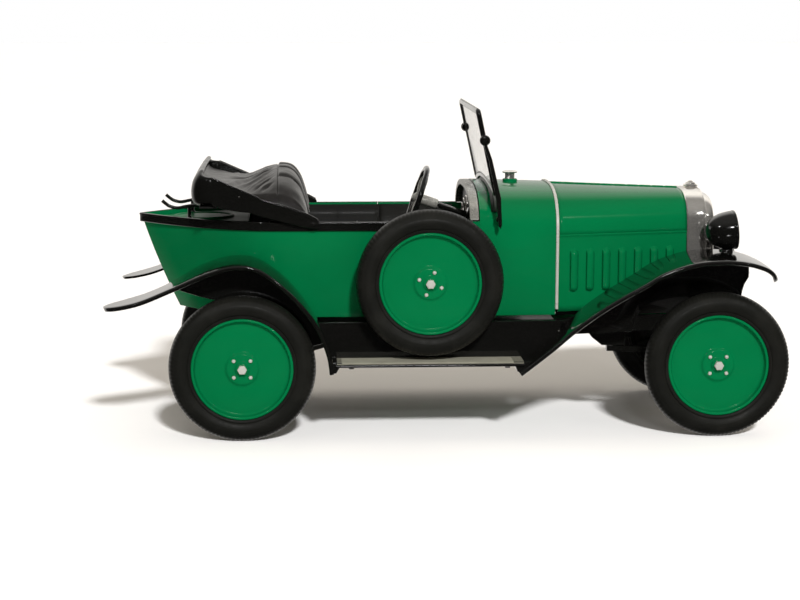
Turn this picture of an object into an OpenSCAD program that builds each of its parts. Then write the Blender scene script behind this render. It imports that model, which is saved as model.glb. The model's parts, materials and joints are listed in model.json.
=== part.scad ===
// Tin clockwork open tourer car. X points forward, Y to the car's left, Z up, in millimetres.
// Stations written as x are counted forward from the rear axle; the ground is z = 0.

/* [Overall] */
// Distance between the axles
wheelbase = 150; // [149:0.5:151]
// Distance from the rear axle back to the tips of the rear fenders
rear_overhang = 43; // [42.5:0.5:43.5]
// Half of the overall width, to the outer edges of the fenders
half_width = 44; // [44:0.1:44.5]
// Height of the top edge of the open body
rail_z = 68.2; // [68:0.1:68.4]
// Height of the bottom edge of the body
sill_z = 37.7; // [37.6:0.1:37.8]
// Thickness of the tinplate of the body
wall = 0.8; // [0.7:0.1:0.9]

/* [Wheels] */
// Outer radius of the tyres
tyre_r = 23.1; // [22.9:0.1:23.2]
// Radius at which the tyre sits on its rim
bead_r = 16.05; // [15.9:0.05:16.2]
// Width of a tyre
tyre_w = 7.6; // [7.4:0.1:7.8]
// Distance from the centre plane to the middle of each tyre
half_track = 37; // [36.8:0.1:37.2]
// Largest steering angle that the front axle is built for
steer_limit = 22; // [18:1:24]

/* [Body] */
// Half width of the body at its top edge
body_half = 32.2; // [32:0.1:32.3]
// Station of the pointed stern at the top edge
stern_x = -33.4; // [-33.6:0.1:-33.2]
// Station of the dash, where the open cockpit ends
dash_x = 75; // [74.8:0.1:75.2]
// Station of the joint between scuttle and bonnet
strip_x = 99.6; // [99.4:0.1:99.8]
// Station of the back of the radiator shell
radiator_x = 143.4; // [143.3:0.1:143.6]
// Height of the crease where the bonnet's side turns into its top
crease_z = 63.5; // [63.4:0.1:63.6]
// Number of louvres on each side of the bonnet
louvres = 7; // [5:1:7]

/* [Windscreen] */
// Height of the pivot of the windscreen
screen_z = 94; // [93.8:0.1:94.2]
// Backward lean of the windscreen in degrees
screen_lean = 12; // [11:0.5:13]

/* [Clockwork] */
// Size of the gear teeth: pitch diameter over number of teeth
gear_module = 0.6; // [0.6:0.01:0.6]
// Teeth of the great wheel
great_teeth = 34; // [34:1:34]
// Turns of the mainspring
spring_turns = 6; // [5:1:7]

/* [Hidden] */
$fn = 64;

green = [0.02, 0.45, 0.24];
black = [0.06, 0.06, 0.06];
rubber = [0.12, 0.12, 0.11];
steel = [0.62, 0.62, 0.6];
brass = [0.72, 0.58, 0.3];

tip_roll = 0.28;
rear_x = (rear_overhang + tip_roll - wheelbase - tyre_r) / 2;
slice = 0.01;
sheet = 0.8;
axle_r = 1.5;
spindle_r = 1.25;
running_gap = 0.05;
kingpin_y = 28.5;
kingpin_r = 0.8;
arm_length = 7;

// ---------------------------------------------------------------- shared shapes

// Everything in here is placed by stations counted from the rear axle
module stations() translate([rear_x, 0, 0]) children();

module both_sides() {
    children();
    mirror([0, 1, 0]) children();
}

// Extrudes an outline drawn in x and z from y0 to y1
module across(y0, y1)
    translate([0, y1, 0]) rotate([90, 0, 0]) linear_extrude(y1 - y0) children();

// Extrudes an outline drawn in y and z from x0 to x1
module along(x0, x1)
    translate([x0, 0, 0]) rotate([90, 0, 90]) linear_extrude(x1 - x0) children();

// A round rod along Y
module rod_y(x, z, r, y0, y1) across(y0, y1) translate([x, z]) circle(r);

// A flat bar with round ends between two points of an outline
module bar(p, q, w) {
    d = q - p;
    translate(p) circle(w / 2);
    translate(q) circle(w / 2);
    translate(p) rotate(atan2(d[1], d[0])) translate([0, -w / 2]) square([norm(d), w]);
}

// A smooth curve through the points of a list, with n steps between neighbours
function smooth(p, n) = let (last = len(p) - 1) concat(
    [for (i = [0:last - 1], j = [0:n - 1])
        between(p[max(i - 1, 0)], p[i], p[i + 1], p[min(i + 2, last)], j / n)],
    [p[last]]);
function between(a, b, c, d, t) =
    0.5 * (2 * b + (c - a) * t + (2 * a - 5 * b + 4 * c - d) * t * t + (3 * b - a - 3 * c + d) * t * t * t);
function mix(a, b, t) = a + (b - a) * t;
function ease(t) = let (u = min(max(t, 0), 1)) u * u * (3 - 2 * u);
function reversed(p) = [for (i = [len(p) - 1:-1:0]) p[i]];

// A closed skin over rings that all have the same number of points
module skin(rings) {
    n = len(rings[0]);
    last = len(rings) - 1;
    walls = [for (i = [0:last - 1], j = [0:n - 1])
        let (k = (j + 1) % n)
        each [[i * n + j, i * n + k, (i + 1) * n + k], [i * n + j, (i + 1) * n + k, (i + 1) * n + j]]];
    caps = [[for (j = [n - 1:-1:0]) j], [for (j = [0:n - 1]) last * n + j]];
    polyhedron([for (ring = rings) each ring], concat(walls, caps), convexity = 6);
}

// ---------------------------------------------------------------- body

// Levels of the body: height, station of the stern, half width amidships, half width at the dash
body_levels = [[rail_z, stern_x, body_half, 31.4], [54, -28.4, 30.6, 30.5], [sill_z, -21.2, 28, 27.9]];
midship_end = 44;
midship_x = 14;
stern_power = 1.85;

function stern_half(x, level) =
    level[2] * (1 - pow(max(midship_x - x, 0) / (midship_x - level[1]), stern_power));

// One side of the plan outline, from the stern to the dash
function plan_side(level, inset) = [for (i = [0:12])
    let (x = mix(level[1], midship_x, sin(i * 7.5)))
    [x + inset * 1.3 * (1 - i / 12), max(stern_half(x, level) - inset * i / 12, 0)]];

module plan(level, inset, front) {
    side = concat(plan_side(level, inset), [[midship_end, level[2] - inset], [front, level[3] - inset]]);
    polygon(concat(side, [for (p = reversed(side)) [p[0], -p[1]]]));
}

// The solid inside of the open body, with its walls moved in by inset
module tub_solid(inset, front) hull()
    for (level = body_levels) translate([0, 0, level[0]]) linear_extrude(slice) plan(level, inset, front);

// Sections of scuttle and bonnet: station, half width at the crease, rise of the top above the crease,
// and how far the sides lean in towards the bottom
dash_section = [dash_x, 31.3, 15, 3.4];
strip_section = [strip_x, 28, 14.3, 0.8];
nose_section = [radiator_x, 17.5, 12.4, 0.8];
arch_power = 2.7;
strip_width = 0.9;
louvre_x = 105;
louvre_pitch = 5.25;
louvre_z = [45, 58.6];

function arch(a, b, steps) = [for (i = [0:steps])
    let (t = i * 180 / steps)
    [a * sign(cos(t)) * pow(abs(cos(t)), 2 / arch_power), crease_z + b * pow(sin(t), 2 / arch_power)]];

module section(a, b, bottom, tuck)
    polygon(concat(arch(a, b, 24), [[-a + tuck, bottom], [a - tuck, bottom]]));

module arched_solid(from, to, inset, bottom) hull() {
    along(from[0], from[0] + slice) section(from[1] - inset, from[2] - inset, bottom, from[3]);
    along(to[0] - slice, to[0]) section(to[1] - inset, to[2] - inset, bottom, to[3]);
}

door_x0 = 45;
door_x1 = 66;
door_z0 = 44;
door_gap = 0.35;
hinge_at = [door_x1, 33.2];
motor_cut = [-7, 46, 10];

module door_block(grow) translate([door_x0 - grow, 20, door_z0 - grow])
    cube([door_x1 - door_x0 + 2 * grow, 20, 40]);

module body_tub() color(green) stations() difference() {
    union() {
        tub_solid(0, dash_x);
        arched_solid(dash_section, strip_section, 0, sill_z);
        translate([87.6, 0, crease_z + 12]) cylinder(h = 3.6, r = 2.4);
    }
    difference() {
        union() {
            tub_solid(wall, dash_x + 1);
            translate([0, 0, 1]) tub_solid(wall, dash_x + 1);
            arched_solid(dash_section - [1, 0, 0, 0], strip_section - [wall, 0, 0, 0], wall, sill_z);
        }
        translate([-50, -50, sill_z - 1]) cube([200, 100, 1 + wall]);
    }
    translate([motor_cut[0], -motor_cut[2], sill_z - 2])
        cube([motor_cut[1] - motor_cut[0], 2 * motor_cut[2], 5]);
    door_block(0);
}

// Deck over the tail, with the round lid that closes the luggage space
deck_z = 67;
lid_x = -13;
module tail_deck() color(green) stations() {
    intersection() {
        tub_solid(wall, dash_x);
        translate([-50, -50, deck_z - 0.7]) cube([50 + 1.9, 100, 0.7]);
    }
    translate([lid_x, 0, deck_z]) difference() {
        cylinder(h = 0.7, r = 10);
        translate([0, 0, 0.35]) cylinder(h = 1, r = 8.6);
    }
}

rail_drop = 2.6;
rail_out = 0.5;
rail_level = body_levels[0] + [0, -rail_out, rail_out, rail_out];
module top_rail() color(black) stations() difference() {
    translate([0, 0, rail_z - rail_drop]) linear_extrude(rail_drop + 0.2) difference() {
        plan(rail_level, 0, dash_x - 2.4);
        plan(body_levels[0], 0, dash_x);
    }
    door_block(0);
}

module cockpit_lining() color(black) stations() difference() {
    intersection() {
        tub_solid(wall + 0.05, dash_x);
        translate([2, -50, sill_z + wall + 0.6]) cube([dash_x - 4 - 2, 100, 27.8]);
    }
    translate([0, 0, -1]) tub_solid(wall + 0.65, dash_x + 2);
    translate([0, 0, 1]) tub_solid(wall + 0.65, dash_x + 2);
    door_block(door_gap);
}

module cockpit_floor() color(black) stations() difference() {
    intersection() {
        tub_solid(wall + 0.1, dash_x);
        translate([-18, -50, sill_z + wall]) cube([dash_x + 16, 100, 0.6]);
    }
    translate([motor_cut[0], -motor_cut[2], sill_z]) cube([motor_cut[1] - motor_cut[0], 2 * motor_cut[2], 5]);
}

// The door is cut from the left side and carries its own piece of rail and lining
module door() color(green) stations() {
    difference() {
        intersection() {
            union() {
                tub_solid(0, dash_x);
                translate([0, 0, rail_z - rail_drop]) linear_extrude(rail_drop + 0.2)
                    plan(rail_level, 0, dash_x - 2.4);
            }
            door_block(-door_gap);
        }
        tub_solid(wall + 0.6, dash_x + 2);
        translate([0, 0, 1]) tub_solid(wall + 0.6, dash_x + 2);
    }
    translate([door_x0 + 4, body_half - 0.9, 61]) rotate([-90, 0, 0]) cylinder(h = 2.4, r = 0.7);
    translate([hinge_at[0], hinge_at[1], 66]) cylinder(h = 2, r = 0.6);
    translate([hinge_at[0] - 2, 31.7, 66]) cube([2, 1.6, 2]);
}

module bonnet() color(green) stations() {
    rear = strip_section + [strip_width, -0.3, -0.2, 0];
    difference() {
        arched_solid(rear, nose_section, 0, sill_z + 1);
        arched_solid(rear - [1, 0, 0, 0], nose_section + [1, 0, 0, 0], wall, sill_z);
    }
    both_sides() for (i = [0:louvres - 1]) {
        x = louvre_x + louvre_pitch * i;
        side = mix(rear[1], nose_section[1], (x - rear[0]) / (nose_section[0] - rear[0]));
        translate([x, side - 0.75, louvre_z[0]]) rotate(30)
            cylinder(h = louvre_z[1] - louvre_z[0], r = 1.05, $fn = 6);
    }
    across(-0.5, 0.5) polygon([[rear[0], 77.6], [radiator_x, 75.7], [radiator_x, 76.2], [rear[0], 78.1]]);
}

module scuttle_strip() color(steel) stations() along(strip_x, strip_x + strip_width) difference() {
    section(28.35, 14.65, sill_z, strip_section[3]);
    section(27, 13.3, sill_z - 1, strip_section[3]);
}

// ---------------------------------------------------------------- radiator

core_bottom = 40;
module radiator_shell() color(steel) stations() difference() {
    union() {
        along(radiator_x, 149) section(18, 12.6, core_bottom, 0);
        hull() {
            along(149, 149 + slice) section(18, 12.6, core_bottom, 0);
            along(152.6, 152.6 + slice) section(15.6, 10.4, core_bottom, 0);
        }
    }
    along(radiator_x - 1, 148) section(16.9, 11.5, core_bottom + 1, 0);
    along(147, 154) section(14.4, 9.2, core_bottom + 1.6, 0);
}

module radiator_core() color(black) stations() along(radiator_x + 0.4, 148)
    section(16.9, 11.5, core_bottom + 1, 0);

module radiator_cap() color(steel) stations() translate([147.6, 0, crease_z + 12.6]) {
    cylinder(h = 0.8, r = 2.4);
    translate([0, 0, 0.8]) cylinder(h = 0.7, r = 1.5, $fn = 6);
    translate([0, 0, 1.5]) cylinder(h = 0.5, r = 0.9);
}

filler_z = crease_z + 15.6;
module filler_cap() color(steel) stations() translate([87.6, 0, filler_z]) {
    cylinder(h = 1.9, r = 1.55);
    translate([0, 0, 1.9]) cylinder(h = 0.6, r = 2.45);
}

// ---------------------------------------------------------------- cockpit

wheel_hub = [56.1, 74.2];
column_lean = 19;
column_foot = 27;

// Shapes in here are drawn along the steering column, from the hub downwards
module on_column() translate([wheel_hub[0], -13.5, wheel_hub[1]]) rotate([0, 90 + column_lean, 0]) children();

module dashboard() color(black) stations() {
    difference() {
        along(dash_x - 1, dash_x - 0.2) intersection() {
            section(29.6, 13, 40, dash_section[3]);
            translate([-40, 57]) square([80, 30]);
        }
        on_column() cylinder(h = 30, r = 1.2);
    }
    for (gauge = [[0, 70.2, 3.6], [9.5, 69.6, 2.4], [17, 68, 1.6], [-2.2, 63, 1.1], [6, 63, 1.1]])
        along(dash_x - 1.7, dash_x - 1) translate([gauge[0], gauge[1]]) circle(gauge[2]);
}

module dash_hoop() color(steel) stations() along(dash_x - 3.1, dash_x - 0.2) difference() {
    section(31.2, 14.9, 40, 0);
    section(29.7, 13.1, 39, 0);
    translate([-40, 30]) square([80, rail_z - 30 + 0.3]);
}

module seat(back_x, front_x, foot_x) {
    across(-26, 26) polygon([
        [back_x - 3, 64], [back_x, 65], [back_x + 2, 64], [back_x + 4.5, 55],
        [front_x - 1, 55.4], [front_x, 54], [front_x, 49], [back_x + 1, 49]]);
    both_sides() translate([foot_x, 13, 39.1]) cube([front_x - foot_x - 2, 12, 9.9]);
}
module front_seat() color(black) stations() seat(36, 54, 47);
module rear_seat() color(black) stations() seat(6, 29, 8);

module steering_column() color(black) stations() on_column() difference() {
    union() {
        translate([0, 0, 7.4]) cylinder(h = column_foot - 7.4, r = 1);
        translate([0, 0, 16.8]) cylinder(h = 0.6, r = 2.4);
        translate([0, 0, column_foot]) cylinder(h = 4, r = 3);
    }
    translate([0, 0, 6]) cylinder(h = column_foot - 4, r = 0.65);
}

module steering_wheel() color(black) stations() on_column() {
    rotate_extrude() translate([9.9, 0]) circle(0.85);
    for (i = [0:3]) rotate([90, 0, 45 + 90 * i]) translate([0, 0, 0.6]) cylinder(h = 8.9, r = 0.5);
    translate([0, 0, -0.9]) cylinder(h = 1.8, r = 1.6);
    translate([0, 0, 0.9]) cylinder(h = 6.2, r = 1.2);
    cylinder(h = column_foot + 1, r = 0.6);
}

// ---------------------------------------------------------------- windscreen

screen_x = 76;
screen_half = 33;
screen_top = 9.7;
screen_frame = 1.4;
arm_y = 33.6;

module windscreen_arms() color(black) stations() both_sides() {
    across(arm_y, arm_y + 1.4) difference() {
        union() {
            translate([screen_x, screen_z]) circle(1.5);
            bar([screen_x, screen_z], [77.9, 87.2], 1.3);
            polygon([[77, 88.3], [78.4, 88.3], [81.7, 76], [81.9, 67], [80.9, 65.6], [80, 66.6], [79.2, 75]]);
        }
        translate([screen_x, screen_z]) circle(0.7 + running_gap);
    }
    rod_y(80.7, 69, 1.1, 31.3, arm_y);
}

// Shapes in here are drawn in y and z about the windscreen's pivot and lean with it
module on_screen() translate([screen_x, 0, screen_z]) rotate([0, -screen_lean, 0]) children();

module pane(inset)
    polygon(concat(
        [[screen_half - inset, screen_top - inset], [-screen_half + inset, screen_top - inset]],
        [for (i = [-8:8])
            let (y = i / 8 * (screen_half - inset))
            [y, -14.9 + inset - 3.2 * i * i / 64]]));

module windscreen_frame() color(black) stations() {
    on_screen() along(-0.7, 0.7) difference() {
        pane(0);
        pane(screen_frame);
    }
    both_sides() {
        rod_y(screen_x, screen_z, 0.7, screen_half - 0.6, arm_y + 1.6);
        rod_y(screen_x, screen_z, 1.65, arm_y + 1.6, arm_y + 2.5);
    }
}
module windscreen_glass() color([0.8, 0.85, 0.85, 0.4]) stations() on_screen()
    along(-0.3, 0.3) pane(screen_frame);

// ---------------------------------------------------------------- fenders and running boards

rear_fender_line = smooth([[28.7, 22], [27.6, 28.6], [23.6, 37.9], [15.5, 47.7], [6.2, 54.9], [-1.5, 56.3],
    [-10.5, 54.1], [-22, 49.2], [-30.5, 45.7], [-37, 43.9], [-rear_overhang, 42.7]], 3);
front_fender_line = smooth([[86.5, 22], [95.6, 29], [103.5, 35.6], [111.7, 41.5], [118.8, 45.8], [126, 49.8],
    [132, 53.2], [140.9, 56], [150, 56.9], [158, 56.3], [164, 54.5], [167.6, 52.2], [169.5, 49.4]], 3);

// Inner and outer edge of each fender at a station
function rear_tip(x) = sqrt(max(1 - pow(max(-35 - x, 0) / 8.05, 2), 0.02));
function rear_inner(x) = x < -8 ? 35.8 - 8.2 * rear_tip(x) : mix(27.6, 33.8, ease((x + 8) / 24));
function rear_outer(x) = x < -8 ? 35.8 + 8.2 * rear_tip(x) : half_width;
function rear_crown(x) = 1.5 * ease((27 - x) / 16);
front_crown = 0.5;
function front_tip(x) = sqrt(max(1 - pow(max(x - 157, 0) / 12.6, 2), 0.02));
function bonnet_side(x) = mix(28.2, 18.4, min(max((x - 100) / 43.4, 0), 1));
function front_inner(x) = x < 112 ? mix(33.8, bonnet_side(112), ease((x - 99) / 13))
    : 34 - (34 - bonnet_side(x)) * front_tip(x);
function front_outer(x) = 34 + (half_width - 34) * front_tip(x);

// Ring of the fender's sheet at a point of its line, with normal n and a rolled outer edge
function fender_ring(p, n, inner, outer, crown) =
    let (at = function(v, down) let (y = mix(inner, outer, v))
        [p[0] - n[0] * (down - crown * (1 - v * v)), y, p[1] - n[1] * (down - crown * (1 - v * v))])
    [at(0, 0), at(0.3, 0), at(0.6, 0), at(0.85, 0), at(0.96, 0.15), at(1, 0.6), at(1, 1.5),
     at(0.95, 1.5), at(0.93, sheet), at(0.6, sheet), at(0.3, sheet), at(0, sheet)];

module fender_sheet(line, rear) {
    last = len(line) - 1;
    skin([for (i = [0:last])
        let (
            d = line[min(i + 1, last)] - line[max(i - 1, 0)],
            n = (rear ? 1 : -1) * [d[1], -d[0]] / norm(d),
            x = line[i][0])
        rear ? reversed(fender_ring(line[i], n, rear_inner(x), rear_outer(x), rear_crown(x)))
            : fender_ring(line[i], n, front_inner(x), front_outer(x), front_crown)]);
}

// Closing panel between the rear fender and the body
module rear_panel() across(31.4, 32.2) difference() {
    polygon(concat(
        [for (p = rear_fender_line) if (p[0] > -22.5 && p[1] > 30) p + [-0.2, rear_crown(p[0]) - 0.5]],
        [[-19, 46.9], [-13, 45], [-7, 43.6], [8, 38], [22, 29]]));
    translate([0, tyre_r]) circle(14);
}

module rear_fender() {
    fender_sheet(rear_fender_line, true);
    rear_panel();
}

// Upright panel between the front fender and the chassis, following the bonnet's side
module front_panel() {
    plan_line = [for (x = [104:6:164]) [x, bonnet_side(x) + 0.2]];
    intersection() {
        linear_extrude(60) polygon(concat(plan_line, [for (p = reversed(plan_line)) p + [0, sheet]]));
        across(0, 50) polygon(concat(
            [for (p = front_fender_line) if (p[0] > 103 && p[0] < 167) p + [0, 0.1]],
            [[163.7, 48.4], [162, 45.7], [161.3, 42.8], [160.5, 37.1], [127, 37.1], [125, 31.5],
                [104, 31.5]]));
    }
}

module front_fender() {
    fender_sheet(front_fender_line, false);
    front_panel();
}

module rear_fender_left() color(black) stations() rear_fender();
module rear_fender_right() color(black) stations() mirror([0, 1, 0]) rear_fender();
module front_fender_left() color(black) stations() front_fender();
module front_fender_right() color(black) stations() mirror([0, 1, 0]) front_fender();

board_x = [29.3, 88.2];
board_z = 25;
apron_y = 32.8;
module running_boards() color(black) stations() both_sides() {
    translate([board_x[0], apron_y + 0.7, board_z - 0.8])
        cube([board_x[1] - board_x[0], half_width - 0.2 - apron_y - 0.7, 0.8]);
    translate([board_x[0] + 4, apron_y + 0.7, board_z - 1.8]) cube([1.6, 8, 1]);
    translate([board_x[1] - 6, apron_y + 0.7, board_z - 1.8]) cube([1.6, 8, 1]);
}

tread_ribs = 8;
module tread_plates() color(steel) stations() both_sides() along(board_x[0] + 0.3, board_x[1] - 0.3) {
    width = half_width - 0.6 - apron_y - 1;
    translate([apron_y + 1, board_z]) square([width, 0.3]);
    for (i = [0:tread_ribs - 1])
        translate([apron_y + 1.3 + i * width / tread_ribs, board_z + 0.3]) square([0.7, 0.25]);
}

// ---------------------------------------------------------------- lamps

lamp_y = 22;
lamp_tilt = 5;
lamp_r = 6.4;
lamp_profile = [[0, 0], [1.6, 0.2], [2.9, 0.9], [4.1, 2.1], [5, 3.6], [5.7, 5.6], [6.1, 7.8], [lamp_r, 10.2]];

// Shapes in here are turned about the lamp's axis, from its rear tip forwards
module on_lamp() translate([148.2, lamp_y, 63.3]) rotate([0, 90 - lamp_tilt, 0]) rotate_extrude() children();

module headlight_shells() color(black) stations() both_sides() {
    on_lamp() difference() {
        polygon(concat(lamp_profile, [[0, 10.2]]));
        translate([0, 1.2]) polygon([for (p = concat(lamp_profile, [[0, 10.2]])) [p[0] * 0.88, p[1]]]);
    }
    translate([155.4, lamp_y, 57.3]) {
        cylinder(h = 1.4, r = 1.1);
        cylinder(h = 0.6, r = 2.2);
    }
}

module headlight_lenses() color([0.85, 0.88, 0.88]) stations() both_sides() on_lamp() intersection() {
    translate([0, -1.6]) circle(r = 13.2 + 0.6);
    translate([0, 10.2]) square([lamp_r - 0.2, 4]);
}

// ---------------------------------------------------------------- wheels

disc_profile = [[3, -5], [3, 0.6], [15.2, 0.2], [15.2, -3.2], [bead_r, -3.2], [bead_r, 3],
    [15.2, 3], [14.6, 1.4], [5.2, 1.7], [4.9, 2.3], [2.4, 2.3], [2.2, 3.2]];
nut_count = 4;

// Wheel parts are drawn for the left side, with y = 0 in the middle of the tyre
module tyre() rotate([-90, 0, 0]) rotate_extrude() difference() {
    union() {
        translate([tyre_r - tyre_w / 2, 0]) circle(tyre_w / 2);
        translate([bead_r, -3.3]) square([1.7, 6.6]);
    }
    translate([0, -10]) square([bead_r, 20]);
}
module disc(bore) rotate([-90, 0, 0]) rotate_extrude()
    polygon(concat([[bore, 3.2], [bore, -5]], disc_profile));
module wheel_nuts() {
    across(3.2, 4.5) circle(1.7, $fn = 6);
    for (i = [0:nut_count - 1])
        across(2.3, 3) rotate(20 + i * 360 / nut_count) translate([3.7, 0]) circle(0.6);
}
module at_rear() stations() both_sides() translate([0, half_track, tyre_r]) children();
module at_front() stations() translate([wheelbase, half_track, tyre_r]) children();
module other_side() mirror([0, 1, 0]) children();

module rear_tyres() color(rubber) at_rear() tyre();
module rear_discs() color(green) at_rear() disc(axle_r);
module wheel_nuts_rear() color(steel) at_rear() wheel_nuts();
module tyre_front_left() color(rubber) at_front() tyre();
module tyre_front_right() color(rubber) other_side() at_front() tyre();
module disc_front_left() color(green) at_front() disc(spindle_r + running_gap);
module disc_front_right() color(green) other_side() at_front() disc(spindle_r + running_gap);
module wheel_nuts_front_left() color(steel) at_front() wheel_nuts();
module wheel_nuts_front_right() color(steel) other_side() at_front() wheel_nuts();

spare_at = [58.7, -39.5, 50];
module at_spare() stations() translate(spare_at) mirror([0, 1, 0]) children();
module spare_tyre() color(rubber) at_spare() tyre();
module spare_disc() color(green) at_spare() disc(spindle_r);
module spare_mount() color(black) at_spare() {
    across(-8.7, -5) circle(3.4);
    across(-5, 3.2) circle(spindle_r);
    wheel_nuts();
}

// ---------------------------------------------------------------- chassis and axles

rail_y = [19, 21.5];
frame_z = [31.6, 36.8];
arbor_hole_r = 2.5;

// The splash plates between the left rail, the body and the running board
module splash_plates() {
    across(apron_y, apron_y + 0.6) polygon([[24.4, frame_z[1]], [102.2, frame_z[1]], [100.5, 35.2],
        [99.8, 32.6], [94.6, 28.2], [90, 24.7], [27.4, 24.7], [26.2, 30]]);
    translate([0, 0, frame_z[1] - sheet]) linear_extrude(sheet) polygon([[24.4, rail_y[1] - 0.5],
        [24.4, apron_y], [101, apron_y], [103.6, 30.7], [103.6, 27.2], [112, 25.2],
        [112, rail_y[1] - 0.5]]);
}

module chassis_frame() color(black) stations() {
    mirror([0, 1, 0]) splash_plates();
    difference() {
        splash_plates();
        rod_y(great_at[0], great_at[1], arbor_hole_r, 10, 40);
    }
    both_sides() {
        difference() {
            across(rail_y[0], rail_y[1]) polygon([[-16, 34], [-10, frame_z[0]], [-4, frame_z[0]],
                [-3.5, 19], [3.5, 19], [4, frame_z[0]], [144, frame_z[0]], [160, 33], [160, frame_z[1]],
                [-16, frame_z[1]]]);
            rod_y(0, tyre_r, axle_r + running_gap, 0, 30);
            rod_y(great_at[0], great_at[1], arbor_hole_r, 10, 40);
        }
        across(13, 17) polygon([[111, frame_z[0]], [113, 28.6], [116.3, 26], [124, 25.8], [124, frame_z[0]]]);
    }
    for (x = [motor_x[0] - 3, motor_x[1], 111, 140])
        translate([x, -rail_y[0], frame_z[0]]) cube([3, 2 * rail_y[0], 4]);
}

module front_axle() color(black) stations() {
    rod_y(wheelbase, tyre_r, 1.3, -kingpin_y + 1.2, kingpin_y - 1.2);
    both_sides() translate([wheelbase, kingpin_y, tyre_r]) difference() {
        translate([0, 0, -1.9]) cylinder(h = 3.8, r = 1.6);
        translate([0, 0, -5]) cylinder(h = 10, r = kingpin_r + running_gap);
    }
    both_sides() translate([wheelbase - 3, 13.4, tyre_r + 1.2]) cube([6, 3.2, 0.7]);
}

// Stub axle with king pin, steering arm and spindle
module stub_axle() stations() translate([wheelbase, kingpin_y, tyre_r]) {
    for (z = [-3.4, 2.2]) translate([-1.5, -1.5, z]) cube([3, 4.1, 1.2]);
    translate([-1.5, 1.9, -3.4]) cube([3, 0.9, 6.8]);
    translate([0, 0, -4]) cylinder(h = 8, r = kingpin_r);
    rod_y(0, 0, spindle_r, 2.6, half_track - kingpin_y + 2.9);
    translate([-arm_length, -0.8, -3.4]) cube([arm_length - 1, 1.6, 1.2]);
    translate([-arm_length, 0, -3.4]) cylinder(h = 1.2, r = 1.2);
    translate([-arm_length, 0, -6]) cylinder(h = 3, r = 0.5);
}
module stub_axle_left() color(black) stub_axle();
module stub_axle_right() color(black) other_side() stub_axle();

module tie_rod() color(black) stations() translate([wheelbase - arm_length, 0, tyre_r - 5.2]) {
    rod_y(0, 0, 0.6, -kingpin_y + 1.4, kingpin_y - 1.4);
    both_sides() translate([0, kingpin_y, -0.6]) difference() {
        cylinder(h = 1.2, r = 1.9);
        translate([0, 0, -1]) cylinder(h = 4, r = 1.15);
    }
}

leaf_count = 3;
module leaf_springs() color(black) stations() both_sides() {
    for (i = [0:leaf_count - 1]) {
        front = smooth([[118 , 25.1], [128 + 2 * i, 24.6], [138 - 2 * i, 24.4], [150 - 6 * i, 25.2]], 4);
        across(13.6, 16.4) translate([0, 0.1 - 0.62 * i])
            polygon(concat(front, [for (p = reversed(front)) p + [0, 0.6]]));
    }
    across(13.6, 16.4) polygon([[2, 27.5], [14, 28.6], [26, frame_z[0]], [27, frame_z[0]], [27, 30.6],
        [14, 27.4], [2, 26.6]]);
}

// ---------------------------------------------------------------- clockwork

pinion_teeth = 10;
third_teeth = 28;
centre_teeth = 24;
mesh_angles = [13.2, 26.8, 23.2];
function pitch_r(teeth) = gear_module * teeth / 2;
function step_from(p, teeth, angle) =
    p + (pitch_r(teeth) + pitch_r(pinion_teeth)) * [cos(angle), sin(angle)];
axle_at = [0, tyre_r];
third_at = step_from(axle_at, third_teeth, mesh_angles[0]);
centre_at = step_from(third_at, centre_teeth, mesh_angles[1]);
great_at = step_from(centre_at, great_teeth, mesh_angles[2]);
motor_x = [-5, 45];
plate_y = 8;
pillars = [[-2.8, 29.5], [19, 43], [42.4, 27], [42.4, 45.4]];
arbor_r = 0.8;
winder_r = 1.6;
wheel_thick = 1.2;
great_y = -4.2;
centre_y = -7;
third_y = -1;

// A toothed wheel with one tooth pointing at the phase angle
module gear(at, teeth, phase, y0, y1, bore) across(y0, y1) translate(at) difference() {
    pitch = 360 / teeth;
    polygon([for (i = [0:teeth - 1], corner = [[-0.6, -0.3], [0.42, -0.12], [0.42, 0.12], [-0.6, 0.3]])
        let (r = pitch_r(teeth) + corner[0], a = phase + (i + corner[1]) * pitch)
        r * [cos(a), sin(a)]]);
    if (bore > 0) circle(bore);
}

module motor_frame() color(steel) stations() {
    for (side = [-1, 1]) {
        y = side * (plate_y + 0.5);
        difference() {
            across(y - 0.5, y + 0.5) polygon([[motor_x[0], 19], [6, 19], [27, 24.8], [motor_x[1], 24.8],
                [motor_x[1], 47.8], [22, 47.8], [motor_x[0], 32]]);
            for (hole = [[axle_at, axle_r], [third_at, arbor_r], [centre_at, arbor_r], [great_at, winder_r]])
                rod_y(hole[0][0], hole[0][1], hole[1] + running_gap, -20, 20);
        }
    }
    for (p = pillars) rod_y(p[0], p[1], 1.2, -plate_y, plate_y);
}

spring_width = 6.4;
module mainspring() color(steel) stations() {
    inner = 2.6;
    outer = 10.4;
    steps = 12 * spring_turns;
    spiral = function(shrink) [for (i = [0:steps])
        let (a = i * 30, r = mix(inner, outer, i / steps) - shrink) great_at + r * [cos(a), sin(a)]];
    across(0.9, 0.9 + spring_width) {
        polygon(concat(spiral(0), reversed(spiral(0.4))));
        bar(great_at + [outer - 0.2, 0], [42.4 + 1.5, 41], 0.4);
        bar([42.4 + 1.5, 41], [42.4 + 1.5, 45.4], 0.4);
    }
}

module rear_axle() color(steel) stations() {
    rod_y(0, tyre_r, axle_r, -half_track - 3, half_track + 3);
    gear(axle_at, pinion_teeth, mesh_angles[0], third_y - 0.8, third_y + wheel_thick + 0.8, 0);
}

module third_wheel() color(brass) stations() {
    gear(third_at, third_teeth, mesh_angles[0] + 180 + 180 / third_teeth, third_y, third_y + wheel_thick, 0);
    gear(third_at, pinion_teeth, mesh_angles[1], centre_y - 0.4, centre_y + wheel_thick + 0.4, 0);
    rod_y(third_at[0], third_at[1], arbor_r, -plate_y - 0.9, plate_y + 0.9);
}

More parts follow.
